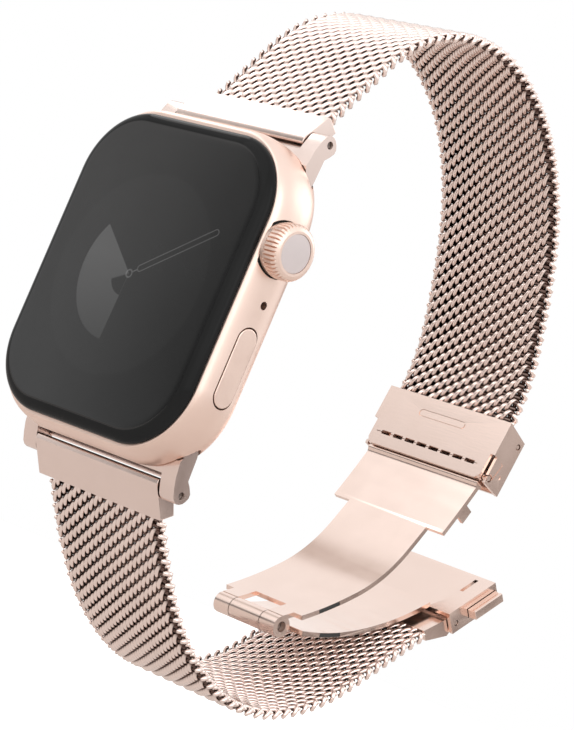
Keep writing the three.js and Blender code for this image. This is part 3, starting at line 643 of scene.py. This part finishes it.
def crown_knob():
    """A drum with fine V-shaped ribs, its front edge rounded, and a seat for the inset disc."""
    shares = (0.0, 0.22, 0.78)  # where a rib's valley and the two sides of its crest lie
    radius, base, face = CROWN["radius"], CROWN["base"], CROWN["face"]
    levels = [  # (x, how far it stands off the radius, how deep the ribs are)
        (base - 0.55, -0.17, 0), (base, -0.13, 0), (base + 0.2, -0.03, 1), (base + 1.5, 0, 1),
        (face - 0.55, -0.08, 1), (face - 0.34, -0.22, 0.5), (face - 0.16, -0.42, 0), (face, -0.8, 0)]
    rings = []
    for x, drawn, ribbed in levels:
        ring = []
        for tooth in range(CROWN["teeth"]):
            for share in shares:
                angle = 2 * math.pi * (tooth + share) / CROWN["teeth"]
                reach = radius + drawn - (0 if share else CROWN["valley"] * ribbed)
                ring.append((x, CROWN["y"] + reach * math.cos(angle), CROWN["z"] + reach * math.sin(angle)))
        rings.append(ring)
    knob = stacked("knob", rings)
    seat = prism_x("seat", circle(*CROWN_CENTRE, CROWN["cap"] + 0.03, 64), face - 0.3, face + 1)
    room = prism_x("room", circle(*CROWN_CENTRE, 2.1, 32), base + 0.9, face + 1)
    bore = prism_x("bore", circle(*CROWN_CENTRE, 1.3, 32), base - 1, face + 1)
    return smooth(cut(knob, seat, room, bore), 20)


def build_controls():
    """The crown with a black ring in its recess, painted shade of the gap round it, and the side button."""
    low, high = (CROWN["base"] - depth for depth in CROWN["shade_ring_depths"])
    # Painted shade: a black ring set low in the recess round the crown darkens the gap, where shade falls.
    shade_ring = prism_x("shade_ring", crown_seat_outline(CROWN["recess"] - 0.05), low, high)
    shade_ring = cut(shade_ring, prism_x("bore", circle(*CROWN_CENTRE, 2.4, 32), 15, 20))
    shade_ring = boolean(shade_ring, "INTERSECT", [case_form("inside", 0.3)])
    place(smooth(shade_ring), "crown_shade_ring", MATERIALS["seal_rubber"], body=NODES["case_shell"]["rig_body"])
    place(crown_knob(), "crown_knob", CASE_METAL, "crown_wheel")
    face = CROWN["face"]
    cap_profile = [(face - 0.28, CROWN["cap"]), (face - 0.1, CROWN["cap"]),
                   (face - 0.06, CROWN["cap"] - 0.06), (face - 0.05, 0.02)]
    cap = turned("cap", cap_profile, CROWN_CENTRE, "X", 72)
    place(smooth(cap), "crown_disc", MATERIALS["crown_cap_metal"], "crown_cap")

    rings = []
    top = BUTTON["top"]
    for drawn, x in ((0.0, 17.2), (0.0, top - 0.12), (0.05, top - 0.03), (0.16, top)):
        half = BUTTON["width"] / 2 - drawn
        outline = round_outline(half, BUTTON["length"] / 2 - drawn, half - 0.01, 12, BUTTON["y"], BUTTON["z"])
        rings.append([(x, y, z) for y, z in outline])
    place(smooth(stacked("button", rings), 50), "side_button_plate", CASE_METAL, "side_button")


# ---------------- lugs

EAR_OUTLINE = [
    (-4.35, 19.9), (-3.85, 18.95), (-3.3, 18.1), (-3.0, 17.82), (-2.6, 17.72), (-2.3, 17.76), (-2.05, 18.05),
    (-1.95, 18.7), (-1.8, 21.7), (-1.2, 22.3), (-0.65, 23.05), (-0.62, 23.6), (-0.9, 24.15), (-1.25, 24.55),
    (-1.7, 24.8), (-2.2, 24.88), (-2.7, 24.7), (-3.1, 24.3), (-3.55, 23.3), (-4.0, 22.0)]
SLIDER_OUTLINE = EAR_OUTLINE[:8] + [(-1.8, 22.4), (-3.9, 21.95)]
BAR_OUTLINE = [
    (-3.8, 22.85), (-3.82, 23.55), (-0.85, 27.5), (1.05, 26.2), (0.3, 24.9), (-0.3, 23.4), (-1.2, 22.5),
    (-3.2, 22.6)]


def lug_adapter(side):
    slider = prism_x("slider", mirrored(SLIDER_OUTLINE, side), -EAR["outer"], EAR["outer"])
    right = prism_x("ear", mirrored(EAR_OUTLINE, side), EAR["inner"], EAR["outer"])
    left = prism_x("ear", mirrored(EAR_OUTLINE, side), -EAR["outer"], -EAR["inner"])
    hole = through(LUG_PIN["y"], side * LUG_PIN["z"], LUG_PIN["radius"] + 0.05, 20)
    return soften(cut(join(slider, right, left), hole), 0.14)


def band_bar(side, path):
    bar = prism_x("bar", mirrored(BAR_OUTLINE, side), -BAR_HALF_X, BAR_HALF_X)
    hole = through(LUG_PIN["y"], side * LUG_PIN["z"], LUG_PIN["radius"] + 0.1, 20)
    slot = prism_x("slot", path.strip(-1.2, 3, -0.95, 0.95, 10), -11.6, 11.6)
    return soften(cut(bar, hole, slot), 0.16)


def rod(y, z, radius, half_x):
    return smooth(prism_x("pin", circle(y, z, radius, 24), -half_x, half_x))


def build_lugs():
    for name, side, path in (("upper", 1, UPPER_BAND), ("lower", -1, LOWER_BAND)):
        place(lug_adapter(side), f"{name}_adapter", LUG_METAL, f"{name}_lug_adapter")
        place(band_bar(side, path), f"{name}_bar", LUG_METAL, f"{name}_band_bar")
        pin = rod(LUG_PIN["y"], side * LUG_PIN["z"], LUG_PIN["radius"], EAR["outer"] - 0.4)
        place(pin, f"{name}_pin", MATERIALS["spring_steel"], f"{name}_lug_pin")


# ---------------- woven mesh


def tube(points, radius, side_vectors, sides=6):
    """A round wire through points; side_vectors point out of the bend at each."""
    ahead = np.gradient(points, axis=0)
    ahead /= np.linalg.norm(ahead, axis=1)[:, None]
    out = side_vectors - (side_vectors * ahead).sum(1)[:, None] * ahead
    out /= np.linalg.norm(out, axis=1)[:, None]
    across = np.cross(ahead, out)
    turns = np.arange(sides) * 2 * math.pi / sides
    rings = (points[:, None, :]
             + radius * np.cos(turns)[None, :, None] * out[:, None, :]
             + radius * np.sin(turns)[None, :, None] * across[:, None, :])
    return rings


def on_row(path, distance, x, along, through):
    """Points given in the X, along, through frame of one row of the band."""
    y, z, heading = path.at(distance)
    c, s = math.cos(heading), math.sin(heading)
    return np.stack([x, y + along * c - through * s, z + along * s + through * c], 1)


def coil(path, distance, short):
    """One flattened spiral of wire laid across the band, ending at a bend on each edge."""
    half_x = MESH["half_x"] - (MESH["turn"] / 2 if short else 0)
    turns = 2 * half_x / MESH["turn"]
    x = np.linspace(-half_x, half_x, int(round(turns * MESH["steps"])) + 1)
    turn = 2 * math.pi * x / MESH["turn"] + math.pi * short
    points = on_row(path, distance, x, MESH["along"] * np.cos(turn), -MESH["through"] * np.sin(turn))
    out = on_row(path, distance, x, np.cos(turn), -np.sin(turn))
    out -= on_row(path, distance, x, 0 * turn, 0 * turn)
    return tube(points, WIRE, out)


def edge_hook(path, distance, side):
    """The bend of wire that joins one row to the next at the edge of the band."""
    angle = np.linspace(-math.pi / 2, math.pi / 2, 9)
    x = side * (MESH["half_x"] - 0.2 + MESH["hook"] * np.cos(angle))
    through = MESH["through"] * np.sin(angle)
    points = on_row(path, distance, x, 0.3 * np.sin(angle), through)
    out = on_row(path, distance, side * np.cos(angle), 0 * angle, np.sin(angle))
    out -= on_row(path, distance, 0 * angle, 0 * angle, 0 * angle)
    return tube(points, WIRE, out)


def cross_wire(path, distance):
    """The straight wire that fills the middle of the weave between two rows."""
    x = np.linspace(-1, 1, 3) * (MESH["half_x"] - 0.6)
    points = on_row(path, distance, x, 0 * x, 0 * x)
    out = on_row(path, distance, 0 * x, 0 * x, 0 * x + 1) - on_row(path, distance, 0 * x, 0 * x, 0 * x)
    return tube(points, MESH["cross"], out)


def weave(path, first_row, last_row):
    """Rows of coils from first_row to last_row, each half a turn on from its neighbour."""
    wires = []
    for row in range(first_row, last_row):
        distance = MESH["start"] + row * MESH["row"]
        wires.append(coil(path, distance, row % 2))
        wires.append(cross_wire(path, distance + MESH["row"] / 2))
        if row % 2 == 0:
            wires += [edge_hook(path, distance, side) for side in (1, -1)]
    vertices, faces, base = [], [], 0
    for rings in wires:
        count, sides = rings.shape[:2]
        vertices.append(rings.reshape(-1, 3))
        for i in range(count - 1):
            for j in range(sides):
                k = (j + 1) % sides
                a, b = base + i * sides, base + (i + 1) * sides
                faces.append((a + j, a + k, b + k, b + j))
        faces.append(tuple(base + j for j in range(sides)))
        faces.append(tuple(base + (count - 1) * sides + j for j in range(sides)))
        base += count * sides
    woven = new_object("weave", np.concatenate(vertices), faces)
    mark_crests(woven, path)
    woven.data.shade_smooth()
    return woven


def mark_crests(woven, path):
    """Stores how near each point is to a face of the band, 0 deep in the weave and 1 on its crests and near
    its edges: the mask for the wire's painted shade and painted highlight.
    """
    marks = np.linspace(-2, path.length + 8, 600)
    line = np.array([path.at(mark) for mark in marks])
    points = np.array([vertex.co for vertex in woven.data.vertices])
    crest = woven.data.attributes.new("crest", "FLOAT", "POINT")
    values = []
    for point in points:
        away = line[:, :2] - point[1:]
        y, z, heading = line[np.argmin((away ** 2).sum(1))]
        out = -(point[1] - y) * math.sin(heading) + (point[2] - z) * math.cos(heading)
        edge = (abs(point[0]) - MESH["half_x"]) / 0.8 + 0.8
        values.append(max(abs(out) / (MESH["through"] + WIRE), edge))
    crest.data.foreach_set("value", values)


def build_band(place_name, path, tail):
    """Splits the rows between the stiff lengths of the CAD bracelet; tail is the mesh past them."""
    start, pitch = MESH["start"], MESH["row"]
    ends = np.cumsum([length for length, turn in path.arcs])
    marks = [0] + [int(math.ceil((end - start) / pitch)) for end in ends]
    marks[-1] = int((path.length + tail - start) / pitch) + 1
    for index in range(len(ends)):
        woven = weave(path, marks[index], marks[index + 1])
        nodes = [f"{place_name}_mesh_{index + 1}"]
        if place_name == "upper" and index == len(ends) - 1:
            nodes.append("upper_mesh_end")
        place(woven, f"{place_name}_weave_{index + 1}", MESH_METAL, *nodes)


# ---------------- clamp

SEAM = [(5.30, 0.68), (5.38, 0.62), (5.6, 1.03), (8.2, 0.43), (8.2, 0.53), (5.52, 1.15)]


def pill(length, width, u=2.4):
    return round_outline(length / 2, width / 2, width / 2 - 0.01, 8, 0, u)


def clamp_frame():
    half_x, wall, inner, outer = CLAMP["half_x"], CLAMP["wall"], CLAMP["inner"], CLAMP["outer"]
    side = on_line(CLAMP_LINE, [(-0.12, inner), (CLAMP["length"], inner), (9.52, outer), (0.94, outer)])
    body = prism_x("clamp", side, -half_x, half_x)
    tools = [
        box_on("channel", CLAMP_LINE, wall - half_x, half_x - wall, -2, 12, inner + wall, 5),
        through(*HINGE_PIN, 0.6),
        through(*FLAP_PIN, 0.45),
    ]
    for sign in (1, -1):
        x0, x1 = sorted((sign * (half_x + 1), sign * (half_x - 0.75)))
        tools.append(box_on("shoulder", CLAMP_LINE, x0, x1, 5.1, 10, inner - 1, inner + 0.8))
        corner = [(sign * (half_x - 2), 9.3), (sign * (half_x + 1), 9.3), (sign * (half_x + 1), 7.2),
                  (sign * (half_x - 0.72), 8.1), (sign * (half_x - 1), 8.6)]
        tools.append(prism_n("corner", CLAMP_LINE, corner, inner - 1, inner + wall + 0.1))
    return smooth(cut(soften(cut(body, *tools), 0.09), *clamp_marks()), 30)


def clamp_marks():
    """The fine cuts in the clamp: the teeth window, an outlined pill and the seams on its sides."""
    half_x, wall, inner = CLAMP["half_x"], CLAMP["wall"], CLAMP["inner"]
    tools = [box_on("slit", CLAMP_LINE, -10.3, 9.8, 6.92, 7.02, inner - 1, inner + wall + 0.2)]
    for i in range(TEETH["count"]):
        middle = (i - (TEETH["count"] - 1) / 2) * TEETH["pitch"]
        tools.append(box_on("tooth", CLAMP_LINE, middle - TEETH["half_x"], middle + TEETH["half_x"],
                            6.68, 7.26, inner - 1, inner + wall + 0.2))
    rim = prism_n("rim", CLAMP_LINE, pill(9.0, 1.12), inner - 1, inner + 0.16)
    island = prism_n("island", CLAMP_LINE, pill(8.76, 0.88), inner - 2, inner + 1)
    tools.append(cut(rim, island))
    for sign in (1, -1):
        x0, x1 = sorted((sign * (half_x - 0.12), sign * (half_x + 1)))
        tools.append(prism_x("seam", on_line(CLAMP_LINE, SEAM), x0, x1))
        tools.append(prism_x("dimple", circle(*CLAMP_LINE.offset(7.2, 1.75), 0.3, 20), x0, x1))
    return tools


def clamp_flap():
    half_x = CLAMP["half_x"] - CLAMP["wall"] - 0.12
    top = CLAMP["outer"]
    cover = box_on("flap", CLAMP_LINE, -half_x, half_x, 1.3, FLAP["end"], top - FLAP["thickness"], top)
    knuckle = prism_x("knuckle", circle(*FLAP_PIN, 0.85, 24), -half_x, half_x)
    tooth_bar = box_on("teeth", CLAMP_LINE, -9.5, 9.5, 6.4, 7.2, 1.15, top)
    return soften(cut(join(cover, knuckle, tooth_bar), through(*FLAP_PIN, 0.4)), 0.1)


def build_clamp():
    place(clamp_frame(), "clamp_body", CLASP_METAL, "clamp_frame")
    place(clamp_flap(), "clamp_cover", CLASP_METAL, "clamp_flap")
    reach = CLAMP["half_x"] - 0.1
    flap_pin = rod(*FLAP_PIN, 0.3, reach)
    place(flap_pin, "clamp_cover_pin", CLASP_METAL, "clamp_flap_pin")
    hinge_pin = rod(*HINGE_PIN, 0.4, reach)
    place(hinge_pin, "clamp_hinge_pin", CLASP_METAL, "blade_hinge_pin")


# ---------------- blades


POCKETS = {  # each blade's path, and where along it the pockets in its edges lie
    "middle_blade": (MIDDLE_BLADE, MIDDLE_BLADE.length - 9, MIDDLE_BLADE.length - 5.2),
    "lower_blade": (LOWER_LEAF, 4.6, 8.6),
}


def edge_notches(blade):
    """Pockets cut into the two long edges of a blade."""
    path, start, end = POCKETS[blade]
    skin, half_x = SHEET / 2 - 0.05, BLADE["half_x"]
    outline = path.strip(start, end, -skin, skin)
    return [prism_x("notch", outline, half_x - 0.9, half_x + 1),
            prism_x("notch", outline, -half_x - 1, 0.9 - half_x)]


def edge_pads(name, blade):
    """Dark slips that fill the pockets in a blade's edges."""
    path, start, end = POCKETS[blade]
    skin, half_x = SHEET / 2 - 0.06, BLADE["half_x"]
    outline = path.strip(start + 0.05, end - 0.05, -skin, skin)
    for side, sign in (("right", 1), ("left", -1)):
        x0, x1 = sorted((sign * (half_x - 0.85), sign * (half_x - 0.04)))
        pad = prism_x("pad", outline, x0, x1)
        place(smooth(pad), f"{name}_{side}_pad", MATERIALS["black_plastic"], body=NODES[blade]["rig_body"])


def middle_blade():
    path, half, length = MIDDLE_BLADE, SHEET / 2, MIDDLE_BLADE.length
    half_x, wide, outer = BLADE["half_x"], BLADE["wide_half_x"], KNUCKLE["outer"]
    hinge_y, hinge_z = HINGE_PIN
    neck = [(hinge_y - 0.6, hinge_z), (hinge_y + 0.55, hinge_z - 0.3),
            path.offset(0.3, half), path.offset(0.3, -half)]
    leg = path.strip(CATCH["start"], CATCH["start"] + CATCH["length"], 0.2, CATCH["reach"] + half)
    blade = join(
        prism_x("wide", path.strip(0, 8.6, -half, half), -wide, wide),
        prism_x("narrow", path.strip(8.1, length - 2, -half, half), -half_x, half_x),
        prism_x("tail", path.strip(length - 2.2, length, -half, half), -outer, outer),
        prism_x("neck", neck, -wide, wide),
        prism_x("barrel", circle(hinge_y, hinge_z, 0.8, 24), -wide, wide),
        prism_x("roll", circle(hinge_y - 0.12, hinge_z - 1.2, 0.68, 32), -wide, wide),
        prism_x("outer", circle(*KNUCKLE_PIN, KNUCKLE["radius"]), -outer, outer),
        *(prism_x("leg", leg, x - CATCH["thickness"] / 2, x + CATCH["thickness"] / 2)
          for x in (CATCH["x"], -CATCH["x"])),
    )
    centre = KNUCKLE["centre"] + 0.12
    blade = cut(
        blade,
        prism_x("window", path.strip(length - 3.4, length + 2, -1.5, 1.5), -centre, centre),
        prism_x("pocket", circle(*KNUCKLE_PIN, KNUCKLE["radius"] + 0.15), -centre, centre),
        through(*HINGE_PIN, 0.5),
        through(*KNUCKLE_PIN, KNUCKLE["bore"]),
        *edge_notches("middle_blade"),
    )
    return soften(blade, 0.1)


def lower_blade():
    path, half = LOWER_LEAF, SHEET / 2
    half_x, wall, depth, length = END_BOX["half_x"], END_BOX["wall"], END_BOX["depth"], END_BOX["length"]
    centre = KNUCKLE["centre"]
    leaf = prism_x("leaf", path.strip(1.2, path.length + 0.6, -half, half), -BLADE["half_x"], BLADE["half_x"])
    neck = prism_x("neck", path.strip(-0.8, 2.4, -half, half), -centre, centre)
    barrel = prism_x("barrel", circle(*KNUCKLE_PIN, KNUCKLE["radius"]), -centre, centre)
    shell = cut(
        box_on("shell", BOX_LINE, -half_x, half_x, 0, length, -depth, 0),
        box_on("inside", BOX_LINE, wall - half_x, half_x - wall, -1, length + 1, -depth - 1, -wall),
        box_on("pushers", BOX_LINE, -15, 15, PUSHER["start"] - 0.1, PUSHER["end"] + 0.1,
               PUSHER["bottom"] - 0.1, PUSHER["top"] + 0.1),
        through(*LINK_CENTRE, 0.42),
    )
    blade = join(leaf, neck, barrel, shell)
    blade = cut(blade, through(*KNUCKLE_PIN, KNUCKLE["bore"]), *edge_notches("lower_blade"))
    room = CATCH["slot_half_x"]
    slots = [box_on("slot", BOX_LINE, x - room, x + room, *CATCH["slot"], -1.5, 1)
             for x in (CATCH["x"], -CATCH["x"])]
    return smooth(cut(soften(blade, 0.1), *slots), 30)


def pusher(sign):
    """A slide with a grooved thumb face, and a flange that keeps it in the box."""
    span = (PUSHER["bottom"], PUSHER["top"])
    outer = END_BOX["half_x"] + PUSHER["proud"]
    x0, x1 = sorted((sign * PUSHER["inner"], sign * outer))
    f0, f1 = sorted((sign * PUSHER["inner"], sign * (PUSHER["inner"] + 0.6)))
    body = box_on("body", BOX_LINE, x0, x1, PUSHER["start"], PUSHER["end"], *span)
    flange = box_on("flange", BOX_LINE, f0, f1, PUSHER["start"] - 0.6, PUSHER["end"], *span)
    groove_x = sign * (END_BOX["half_x"] + 0.9)
    groove = box_on("groove", BOX_LINE, groove_x - 0.1, groove_x + 0.1, 0, 12, PUSHER["top"] - 0.2, 0)
    return soften(cut(join(body, flange), groove), 0.08)


def end_link():
    wedge = on_line(LINK_LINE, [
        (0.2, 0.8), (0.2, -0.8), (1, -1.1), (4.2, -2.2), (5.6, -1.5), (6, 0), (4.6, 0.3)])
    half_x = END_BOX["half_x"] - END_BOX["wall"] - 0.15
    eye = prism_x("eye", circle(*LINK_CENTRE, LINK_PIN["eye"], 32), -half_x, half_x)
    body = join(prism_x("wedge", wedge, -half_x, half_x), eye)
    return soften(cut(body, through(*LINK_CENTRE, LINK_PIN["bore"])), 0.12)


def build_blades():
    place(middle_blade(), "middle_leaf", CLASP_METAL, "middle_blade")
    place(lower_blade(), "lower_leaf", CLASP_METAL, "lower_blade")
    edge_pads("middle_leaf", "middle_blade")
    edge_pads("lower_leaf", "lower_blade")
    pin = rod(*KNUCKLE_PIN, KNUCKLE["bore"] - 0.05, KNUCKLE["outer"] - 0.9)
    place(pin, "knuckle_rod", MATERIALS["spring_steel"], "knuckle_pin")
    place(pusher(1), "right_pusher", CLASP_METAL, "pusher_right")
    place(pusher(-1), "left_pusher", CLASP_METAL, "pusher_left")
    half_x = END_BOX["half_x"] - END_BOX["wall"] - 0.12
    cover = box_on("cover", BOX_LINE, -half_x, half_x, 2.7, END_BOX["length"], -END_BOX["depth"],
                   0.5 - END_BOX["depth"])
    place(soften(cover, 0.1), "box_cover", CLASP_METAL, "end_box_cover")
    link_pin = rod(*LINK_CENTRE, LINK_PIN["radius"], END_BOX["half_x"] - 0.1)
    place(link_pin, "link_pin", CLASP_METAL, "end_link_pin")
    place(end_link(), "mesh_end_link", CLASP_METAL, "end_link")


build_case()
build_controls()
build_lugs()
build_band("upper", UPPER_BAND, tail=5.5)
build_band("lower", LOWER_BAND, tail=0.2)
build_clamp()
build_blades()

for name, cad_node in NODES.items():
    cad_node.data.materials.clear()
    cad_node.data.materials.append(MATERIALS[SLOT_OF[name]])

# ---------------- floor, light and camera


def pale_floor(height):
    """Plain white to the camera; darker and warmer in what the metal reflects."""
    material, tree, principled = shader("pale_floor")
    rays = node(tree, "ShaderNodeLightPath")
    shade = node(tree, "ShaderNodeMix", data_type="RGBA")
    tree.links.new(tinted(tree, noise(tree, 40), (0.93, 0.93, 0.93), (0.96, 0.96, 0.96)), shade.inputs["A"])
    tree.links.new(tinted(tree, noise(tree, 40), (0.6, 0.55, 0.52), (0.62, 0.57, 0.54)), shade.inputs["B"])
    tree.links.new(rays.outputs["Is Glossy Ray"], shade.inputs["Factor"])
    tree.links.new(shade.outputs["Result"], principled.inputs["Base Color"])
    principled.inputs["Roughness"].default_value = 0.9
    principled.inputs["Emission Color"].default_value = (1, 1, 1, 1)
    glow = math_node(tree, "MULTIPLY", rays.outputs["Is Camera Ray"], 0.6)
    tree.links.new(glow, principled.inputs["Emission Strength"])
    mesh = bpy.data.meshes.new("floor")
    half = 6.0
    corners = [(x, y, height) for x, y in ((-half, -half), (half, -half), (half, half), (-half, half))]
    mesh.from_pydata(corners, [], [(0, 1, 2, 3)])
    floor = bpy.data.objects.new("floor", mesh)
    floor.data.materials.append(material)
    bpy.context.scene.collection.objects.link(floor)


def softbox(name, location, aim, width, height, power):
    lamp = bpy.data.lights.new(name, "AREA")
    lamp.shape = "RECTANGLE"
    lamp.size = width
    lamp.size_y = height
    lamp.energy = power
    holder = bpy.data.objects.new(name, lamp)
    holder.location = location
    holder.rotation_mode = "QUATERNION"
    holder.rotation_quaternion = (Vector(aim) - Vector(location)).to_track_quat("-Z", "Y")
    bpy.context.scene.collection.objects.link(holder)


ROOM = [  # brightness of the room from floor to ceiling
    (0.0, 0.5), (0.42, 0.6), (0.5, 0.85), (0.56, 1.12), (0.66, 1.05), (0.75, 1.0), (1.0, 1.05)]
CARDS = [  # (direction, inner angle, outer angle, colour it gives the room there)
    ((-0.62, -0.78, 0.1), 7, 12, (0.1, 0.1, 0.1)),
    ((0.72, 0.69, -0.05), 6, 13, (0.16, 0.13, 0.12)),
    ((0.62, 0.78, 0.05), 3, 10, (0.62, 0.57, 0.54)),
    ((-0.736, -0.12, 0.665), 4, 12, (0.6, 0.54, 0.51)),
    ((-0.736, -0.616, 0.284), 6, 14, (0.87, 0.85, 0.84)),
    ((0.6, -0.79, 0.12), 12, 42, (1.7, 1.7, 1.7)),
]


def room_light(tree, direction):
    """The brightness of the room by height, from straight down to straight up."""
    split = node(tree, "ShaderNodeSeparateXYZ")
    tree.links.new(direction, split.inputs["Vector"])
    ramp = node(tree, "ShaderNodeValToRGB")
    lift = math_node(tree, "MULTIPLY_ADD", split.outputs["Z"], 0.5, 0.5)
    tree.links.new(lift, ramp.inputs["Fac"])
    for index, (position, value) in enumerate(ROOM):
        stop = ramp.color_ramp.elements[index] if index < 2 else ramp.color_ramp.elements.new(position)
        stop.position = position
        stop.color = (value, value, value, 1)
    return ramp.outputs["Color"]


def with_card(tree, direction, light, aim, inner, outer, colour):
    """Multiplies the light by a colour in a soft round patch of directions."""
    facing = node(tree, "ShaderNodeVectorMath", operation="DOT_PRODUCT")
    facing.inputs[1].default_value = Vector(aim).normalized()
    tree.links.new(direction, facing.inputs[0])
    span = [math.cos(math.radians(angle)) for angle in (outer, inner)]
    tone = node(tree, "ShaderNodeMix", data_type="RGBA", clamp_result=False)
    tone.inputs["A"].default_value = (1, 1, 1, 1)
    tone.inputs["B"].default_value = (*colour, 1)
    tree.links.new(ranged(tree, facing.outputs["Value"], span, kind="SMOOTHSTEP"), tone.inputs["Factor"])
    dim = node(tree, "ShaderNodeVectorMath", operation="MULTIPLY")
    tree.links.new(light, dim.inputs[0])
    tree.links.new(tone.outputs["Result"], dim.inputs[1])
    return dim.outputs["Vector"]


def studio():
    """A white room with soft pale and dark cards for the metal and glass to reflect, seen as plain white."""
    world = bpy.data.worlds.new("studio")
    bpy.context.scene.world = world
    world.use_nodes = True
    tree = world.node_tree
    background = tree.nodes["Background"]
    direction = node(tree, "ShaderNodeTexCoord").outputs["Generated"]
    light = room_light(tree, direction)
    for card in CARDS:
        light = with_card(tree, direction, light, *card)
    rays = node(tree, "ShaderNodeLightPath")
    mix = node(tree, "ShaderNodeMix", data_type="RGBA")
    mix.inputs["B"].default_value = (1, 1, 1, 1)
    tree.links.new(rays.outputs["Is Camera Ray"], mix.inputs["Factor"])
    tree.links.new(light, mix.inputs["A"])
    tree.links.new(mix.outputs["Result"], background.inputs["Color"])
    background.inputs["Strength"].default_value = 1.0


CAMERA = dict(
    location=(0.25169, -0.22941, -0.03340),
    right=(0.67494, 0.62803, 0.38734),
    up=(-0.21556, -0.33421, 0.91752),
    lens=131.35,
)


def camera():
    lens = bpy.data.cameras.new("camera")
    lens.lens = CAMERA["lens"]
    lens.sensor_width = 36
    lens.clip_start = 0.01
    holder = bpy.data.objects.new("camera", lens)
    right = Vector(CAMERA["right"]).normalized()
    back = right.cross(Vector(CAMERA["up"])).normalized()
    up = back.cross(right)
    turn = Matrix((right, up, back)).transposed().to_4x4()
    holder.matrix_world = Matrix.Translation(CAMERA["location"]) @ turn
    bpy.context.scene.collection.objects.link(holder)
    bpy.context.scene.camera = holder


FLOOR_HEIGHT = -0.075
MIDDLE = (0.0, 0.025, 0.0)
LAMPS = [  # name, place, what it aims at, width, height, watts
    ("key", (-0.35, -0.75, 0.75), MIDDLE, 0.9, 0.9, 1.2),
    ("side", (0.9, -0.25, 0.45), MIDDLE, 0.5, 0.8, 1.6),
    ("back", (0.2, 0.9, 0.6), MIDDLE, 0.9, 0.5, 1.6),
    ("bar", (-0.033, -0.0083, 0.0547), (0, -0.002, 0.025), 0.024, 0.024, 0.0034),
]

pale_floor(FLOOR_HEIGHT)
for lamp in LAMPS:
    softbox(*lamp)
studio()
camera()
bpy.context.scene.view_settings.view_transform = "Standard"
